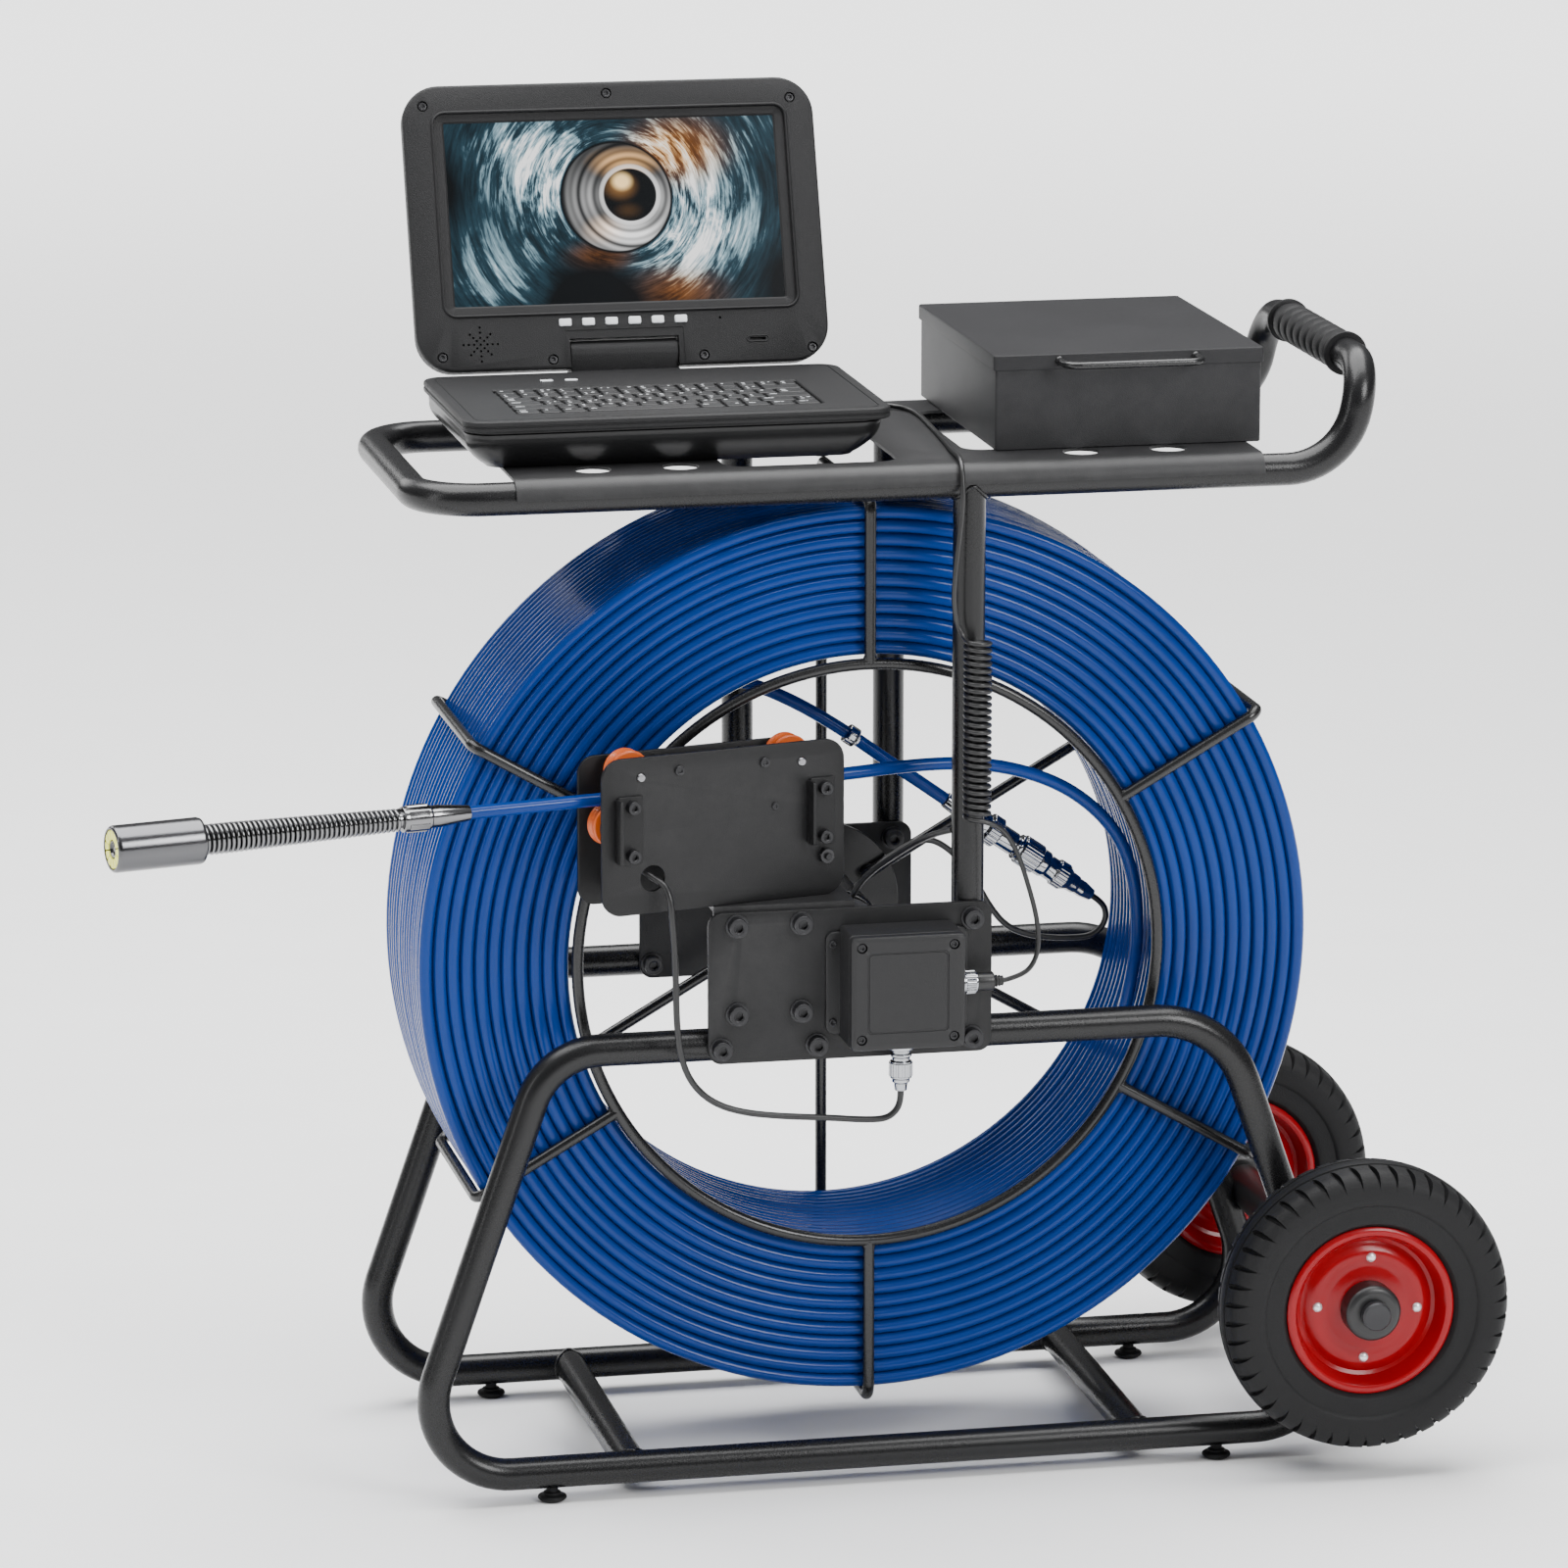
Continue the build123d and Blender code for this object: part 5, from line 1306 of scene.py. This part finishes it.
def battery_box():
    """Folded sheet box, lid with a turned-down rim, hinge knuckles behind and a rod handle in front."""
    x0, x1, y0, y1, z0, z1 = 80.0, 263.5, -86.0, 138.0, 701.4, 764.5
    pin_y, pin_z = 144.0, 757.0
    cx, cy, w, h = (x0 + x1) / 2, (y0 + y1) / 2, x1 - x0, y1 - y0

    def knuckle(bm, x, length):
        spin(bm, soften([(1.6, 0), (3, 0), (3, length), (1.6, length)], 0.3),
             axes(P(x, pin_y, pin_z), (1, 0, 0)), 28, closed=True)

    def body(bm):
        layers(bm, stack(cx, cy, w, h, [
            (1.6, 1.2, z0), (0, 2, z0 + 0.8), (0, 2, z1 - 0.3), (0.6, 1.7, z1), (2.4, 0.9, z1),
            (3, 0.6, z1 - 0.4), (3, 0.6, z0 + 1.5)]), P, 4)
        for x in (110, 216):
            layers(bm, pad_steps(x + 7, y1 + 1.6, 14, 5, 0.5, 746, 754.6, 0.3), P, 2)
            layers(bm, pad_steps(x + 7, y1 + 4, 14, 5, 0.5, 751.5, 755, 0.3), P, 2)
            knuckle(bm, x, 14)
    piece("battery_box_body", body, BOX_PAINT, "cart", "box_body", 30)

    def lid(bm):
        ow, oh, low, top = w + 3.2, h + 3.2, 756.0, 766.0
        inside = [(cx, cy, w + 0.8, h + 0.8, 2.0, top - 1.2), (cx, cy, w + 0.8, h + 0.8, 2.0, low + 0.2),
                  (cx, cy, w + 1.2, h + 1.2, 2.1, low)]
        outside = stack(cx, cy, ow, oh, [(0.4, 2.4, low), (0, 2.6, low + 0.3), (0, 2.6, top - 1.3),
                                         (0.5, 2.4, top - 0.5), (1.5, 2, top - 0.1), (3, 1.6, top)])
        layers(bm, inside + outside, P, 5)
        for x in (94.6, 124.4, 200.6, 230.4):
            layers(bm, pad_steps(x + 7.5, y1 + 3.8, 15, 4.6, 0.5, 757.6, 760.2, 0.3), P, 2)
            knuckle(bm, x, 15)
    piece("battery_box_lid", lid, BOX_PAINT, "lid", "box_lid", 30)

    def pull(bm):
        z, a, b = 761.5, -87.6, -111.0
        corners = [P(123.5, a + 0.6, z), P(123.5, b, z), P(217.5, b, z), P(217.5, a + 0.6, z)]
        rod(bm, bent(corners, 10), 2.5, 20)
        for x in (123.5, 217.5):
            weld(bm, P(x, a, z), Vector((0, 1, 0)), 2.6)
    piece("lid_pull", pull, WIRE_PAINT, "lid", "lid_handle")


battery_box()

# ---------------------------------------------------------------- counter, guide and plates

def counter():
    """Counter box with a flange behind, and a cover with a sunk face and a screw at each corner."""
    x, z, face = 1.6, 354.3, -136.5

    def on_face(px, pz, out):
        return P(px, face - out, pz)

    def box(bm):
        layers(bm, pad_steps(x, z, 97, 70, 5, 0, 3, 0.6), on_face, 5)
        layers(bm, [(x, z, 78, 78, 3, 0), (x, z, 78, 78, 3, 31.4), (x, z, 77.2, 77.2, 2.8, 32)], on_face, 5)
    piece("counter_box_shell", box, COUNTER_BLACK, "cart",
          "counter_box", 30)

    def cover(bm):
        steps = ((77, 3, 32), (78, 3.4, 32.5), (78, 3.4, 36.4), (77.2, 3.2, 37.5), (75.6, 2.8, 38),
                 (55.5, 3, 38), (54.9, 3, 37.5), (53.4, 3, 37.5), (52.8, 3, 38), (4, 1, 38))
        layers(bm, [(x, z, size, size, corner, out) for size, corner, out in steps], on_face, 6)
    shell = piece("counter_lid", cover, COUNTER_BLACK, "cart",
                  "counter_cover", 25)
    spots = [(x + a * 31.5, z + b * 31.5) for a in (-1, 1) for b in (-1, 1)]
    wells = mesh_of("tool", lambda bm: [spin(bm, [(0, 34.5), (3.3, 34.5), (3.7, 40), (0, 40)],
                                             axes(on_face(px, pz, 0), (0, -1, 0)), 28) for px, pz in spots])
    cut(shell, wells)

    def screws(bm):
        for px, pz in spots:
            socket_screw(bm, on_face(px, pz, 34.2), (0, -1, 0), 2.9, 2.6, 24)
        for pz in (z - 27, z + 27):
            for px in (x - 44, x + 44):
                socket_screw(bm, on_face(px, pz, 3), (0, -1, 0), 2.6, 1.8, 20)
    piece("counter_screws", screws, BOLT_BLACK, "cart")


def plate_piece(name, w, h, corner, thick, place, cad=None, holes=(), notch=None):
    """A sheet plate with softened edges and drilled holes: place(x, z, out)."""
    def build(bm):
        layers(bm, pad_steps(0, 0, w, h, corner, 0, thick, 0.45), place, 10)
    obj = piece(name, build, SHEET_PAINT, "cart", cad or (), 25)
    if holes:
        tools = []
        for px, pz, r in holes:
            def drill(bm, px=px, pz=pz, r=r):
                origin = place(px, pz, -1)
                spin(bm, [(0, 0), (r, 0), (r, thick + 2), (0, thick + 2)],
                     axes(origin, place(px, pz, 1) - origin), 36)
            tools.append(mesh_of("tool", drill))
        cut(obj, *tools)
    if notch:
        cut(obj, notch)
    return obj


def mid_plates():
    """Front and back mid plate, with their bolts, washers and nuts."""
    cx, cz, w, h = -29.5, 353.25, 194.0, 103.5
    bolts = [(-118, LOOP_TOP), (-52.5, LOOP_TOP), (54, LOOP_TOP), (54, 394)]
    shelf = [(-107, 396), (-63, 396), (-107, 335.5), (-63, 335.5)]
    for index, (y, holes) in enumerate(((-LOOP_Y, bolts + shelf), (LOOP_Y, bolts))):
        plate_piece(f"mid_plate_{index + 1}", w, h, 9, 4,
                    lambda px, pz, out, y=y: P(cx + px, y - 11 - out, cz + pz),
                    "mid_plates", [(hx - cx, hz - cz, 4.0) for hx, hz in holes])

    def fasteners(bm):
        for y, holes in ((-LOOP_Y, bolts + shelf), (LOOP_Y, bolts)):
            face = y - 15
            for hx, hz in holes:
                socket_screw(bm, P(hx, face, hz), (0, -1, 0), 6.5, 7.5)
                spin(bm, soften([(4.2, 0), (8, 0), (8, 1.2), (4.2, 1.2)], 0.3),
                     axes(P(hx, face, hz), (0, -1, 0)), 40, True)
                nut_y, end_y = y + 11, y + 17.5
                if (hx, hz) in shelf:
                    nut_y, end_y = y - 7, y - 3
                spin(bm, [(0, 0), (3.95, 0), (3.95, 4.6), (3.4, 5.2), (0, 5.2)],
                     axes(P(hx, end_y, hz), (0, 1, 0)), 24)
                nut(bm, P(hx, nut_y, hz), (0, 1, 0), 6.5, 13)
    piece("plate_bolts", fasteners, BOLT_BLACK, "cart", "plate_fasteners", 25)


def nut(bm, origin, direction, height, across, hole=4.0):
    """Hexagonal nut with chamfered corners."""
    place = axes(origin, direction)
    n = 48
    rings = []
    uncut = across
    for h, r_max in ((0, across * 0.52), (0.5, uncut), (height - 0.7, uncut), (height, across * 0.505)):
        ring = []
        for k in range(n):
            a = 2 * pi * k / n
            to_side = across / 2 / cos((a % (pi / 3)) - pi / 6)
            ring.append(polar(place, min(to_side, r_max), a, h))
        rings.append(ring)
    inner = [[polar(place, hole, 2 * pi * k / n, h) for k in range(n)] for h in (height, 0)]
    skin(bm, rings + inner, closed_path=True)


ROLLERS = [(-64.6, 501.8), (52.8, 501.8), (-76.3, 466.4), (67.7, 466.4)]


def guide():
    """Front and back plate, folded brackets, spacers, screws, grooved rollers and the encoder."""
    def front(px, pz, out):
        return G(-4.25 + px, -out + 3.0, 462.2 + pz)

    holes = [(s + 4.25, z - 462.2, 3.2) for s, z in ROLLERS] + [(-56.4 + 4.25, 432.7 - 462.2, 9.0)]
    plate_piece("guide_plate_front", 177.1, 106.4, 14, 3, front, "guide_plates", holes)

    def back(px, pz, out):
        return G(-4.4 + px, 42 - out, 459.75 + pz)
    step = mesh_of("tool", lambda bm: layers(bm, [(75, 37, 30, 32, 2, out) for out in (-3, 6)], back, 3))
    plate_piece("guide_plate_back", 176.8, 101.5, 12, 3, back, None,
                [(s + 4.4, z - 459.75, 3.2) for s, z in ROLLERS], step)

    def bracket(bm, s):
        layers(bm, pad_steps(s, 467, 18, 46, 1.2, 0.0, 2, 0.3), lambda x, z, out: G(x, -out, z), 3)
        layers(bm, pad_steps(-7, 467.5, 10, 43, 1.2, s - 11, s - 9, 0.3), lambda d, z, x: G(x, d + 1, z), 3)

    piece("guide_brackets", lambda bm: [bracket(bm, s) for s in (-73.0, 67.5)],
          SHEET_PAINT, "cart")

    def hardware(bm):
        axis = Vector((-sin(GUIDE_YAW), cos(GUIDE_YAW), 0))
        for s in (-73.0, 67.5):
            for z in (449.8, 483):
                socket_screw(bm, G(s + 1, -2, z), -axis, 4.6, 5.0, 28)
        for s, z in ((-36.9, 504.2), (25.4, 503.9), (33.1, 473.3), (70.0, 436.2), (-72.0, 420.0)):
            spin(bm, soften([(0, 3), (4, 3), (4, 39), (0, 39)], 0.4), axes(G(s, 0, z), axis), 28)
        for s, z in ((-36.9, 504.2), (25.4, 503.9)):
            socket_screw(bm, G(s, 0, z), -axis, 3.4, 1.9, 24)
            socket_screw(bm, G(s, 42, z), axis, 3.4, 2.2, 24)
        socket_screw(bm, G(33.1, 0, 473.3), -axis, 2.4, 1.4, 20)
        nut(bm, G(70, 0, 436.2), -axis, 4.5, 9.5, 2.4)
        spin(bm, soften([(0, 0), (2.3, 0), (2.3, 7.4), (0, 7.4)], 0.6), axes(G(70, 0, 436.2), -axis), 20)
    piece("guide_hardware", hardware, BOLT_BLACK, "cart", "guide_fasteners",
          28)

    axis = Vector((-sin(GUIDE_YAW), cos(GUIDE_YAW), 0))
    for i, (s, z) in enumerate(ROLLERS):
        place = axes(G(s, CABLE_DEPTH, z), axis)

        def roller(bm, place=place):
            spin(bm, soften([(3.1, -6), (13.6, -6), (14.6, -5.2), (14.6, -4.6), (13.6, -3), (12.9, -1.4),
                             (12.7, 0), (12.9, 1.4), (13.6, 3), (14.6, 4.6), (14.6, 5.2), (13.6, 6),
                             (3.1, 6)], 0.3), place, 64, closed=True)

        def pin(bm, place=place):
            spin(bm, soften([(0, -25.5), (2.4, -25.5), (3, -24.8), (3, -8), (6, -7.8), (6, -6), (3, -6),
                             (3, 6), (6, 6), (6, 7.8), (3, 8), (3, 19.8), (2.4, 20.5), (0, 20.5)], 0.25),
                 place, 28)
        piece(f"roller_wheel_{i + 1}", roller, ROLLER_ORANGE, f"roller_{i + 1}",
              f"guide_roller_{i + 1}")
        piece(f"roller_pin_{i + 1}", pin, STEEL, f"roller_{i + 1}")

    def encoder(bm):
        place = axes(G(-76.3, 3, 466.4), axis)
        spin(bm, soften([(3.6, 0), (12, 0), (12, 12), (3.6, 12)], 1.0), place, 48, closed=True)
    piece("encoder_shell", encoder, COUNTER_BLACK, "cart",
          "encoder_housing")


def feet():
    """Four levelling feet."""
    def build(bm):
        for x in (-232, 232):
            for y in (-LOOP_Y, LOOP_Y):
                spin(bm, soften([(0, 0), (8, 0), (10, 2), (9.4, 3.6), (6, 4.4), (6, 6), (4, 6.4), (4, 12),
                                 (0, 12)], 0.5), axes(P(x, y, 0), (0, 0, 1)), 32)
    piece("feet_set", build, GRIP_RUBBER, "cart", "levelling_feet")


counter()
mid_plates()
guide()
feet()

# ---------------------------------------------------------------- CAD nodes that stay

KEPT = {
    "tray_plate": SHEET_PAINT, "guide_shelf": SHEET_PAINT, "wheel_axle": BOLT_BLACK, "reel_axle": TURNED,
    "slip_ring": SLIP_GREY, "hinge_pin": STEEL, "lid_pins": STEEL, "battery_pack": PACK_GREY,
}
for node_name, paint in KEPT.items():
    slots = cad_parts[node_name].data.materials
    slots.clear()
    slots.append(paint)

# ---------------------------------------------------------------- floor and light

FAR_GLOW, GLOW_FROM, GLOW_FULL = 2.2, 1.2, 8.0


def stage():
    """A plain pale floor. Its far parts glow, so that it stays evenly bright out to the horizon."""
    half, drop = 30, 0.0005
    rows = [[Vector((x, y, -drop)) for x in (-half, half)] for y in (-half, half)]
    mesh = mesh_of("floor", lambda bm: skin(bm, rows, closed_ring=False, caps=False))
    paper = finish("paper", (0.93, 0.93, 0.93), 0.9, patch=0.01, specular=0.1)
    tree = paper.node_tree
    split = tree.nodes.new("ShaderNodeSeparateXYZ")
    tree.links.new(coordinates(tree), split.inputs[0])
    x, y, _ = (Field(tree, o) for o in split.outputs)
    away = (x * x + y * y).op("SQRT")
    shader = tree.nodes["Principled BSDF"]
    shader.inputs["Emission Color"].default_value = (1, 1, 1, 1)
    tree.links.new((away.step(GLOW_FROM, GLOW_FULL) * FAR_GLOW).socket, shader.inputs["Emission Strength"])
    mesh.materials.append(paper)
    sheet = bpy.data.objects.new("floor", mesh)
    bpy.context.scene.collection.objects.link(sheet)


def area(name, at, aim, wide, tall, power):
    """A rectangular lamp at a place, aimed at a point, in metres and watts."""
    data = bpy.data.lights.new(name, "AREA")
    data.shape, data.size, data.size_y, data.energy = "RECTANGLE", wide, tall, power
    lamp = bpy.data.objects.new(name, data)
    bpy.context.scene.collection.objects.link(lamp)
    lamp.location = at
    lamp.rotation_euler = (Vector(aim) - Vector(at)).to_track_quat("-Z", "Y").to_euler()


def light():
    """Soft boxes above, in front and behind, and a world that is bright overhead and dim at the sides."""
    world = bpy.data.worlds.new("studio")
    world.use_nodes = True
    tree = world.node_tree
    split = tree.nodes.new("ShaderNodeSeparateXYZ")
    tree.links.new(tree.nodes.new("ShaderNodeTexCoord").outputs["Generated"], split.inputs[0])
    sky = ramp(tree, Field(tree, split.outputs["Z"]), [(0.0, (0.1, 0.1, 0.1)), (0.3, (0.16, 0.16, 0.165)),
                                                       (0.9, (0.6, 0.61, 0.62))])
    tree.links.new(sky, tree.nodes["Background"].inputs["Color"])
    tree.nodes["Background"].inputs["Strength"].default_value = 1.0
    bpy.context.scene.world = world
    middle = (0, 0, 0.4)
    area("key", (1.9, -2.9, 2.3), middle, 1.5, 1.5, 105)
    area("top", (-0.2, 0.5, 3.3), (-0.2, 0.4, 0), 4.0, 3.4, 330)
    area("side", (-3.0, -1.0, 1.5), middle, 0.4, 2.0, 16)
    area("rear", (-1.6, 3.0, 2.0), middle, 1.6, 1.2, 22)


stage()
light()
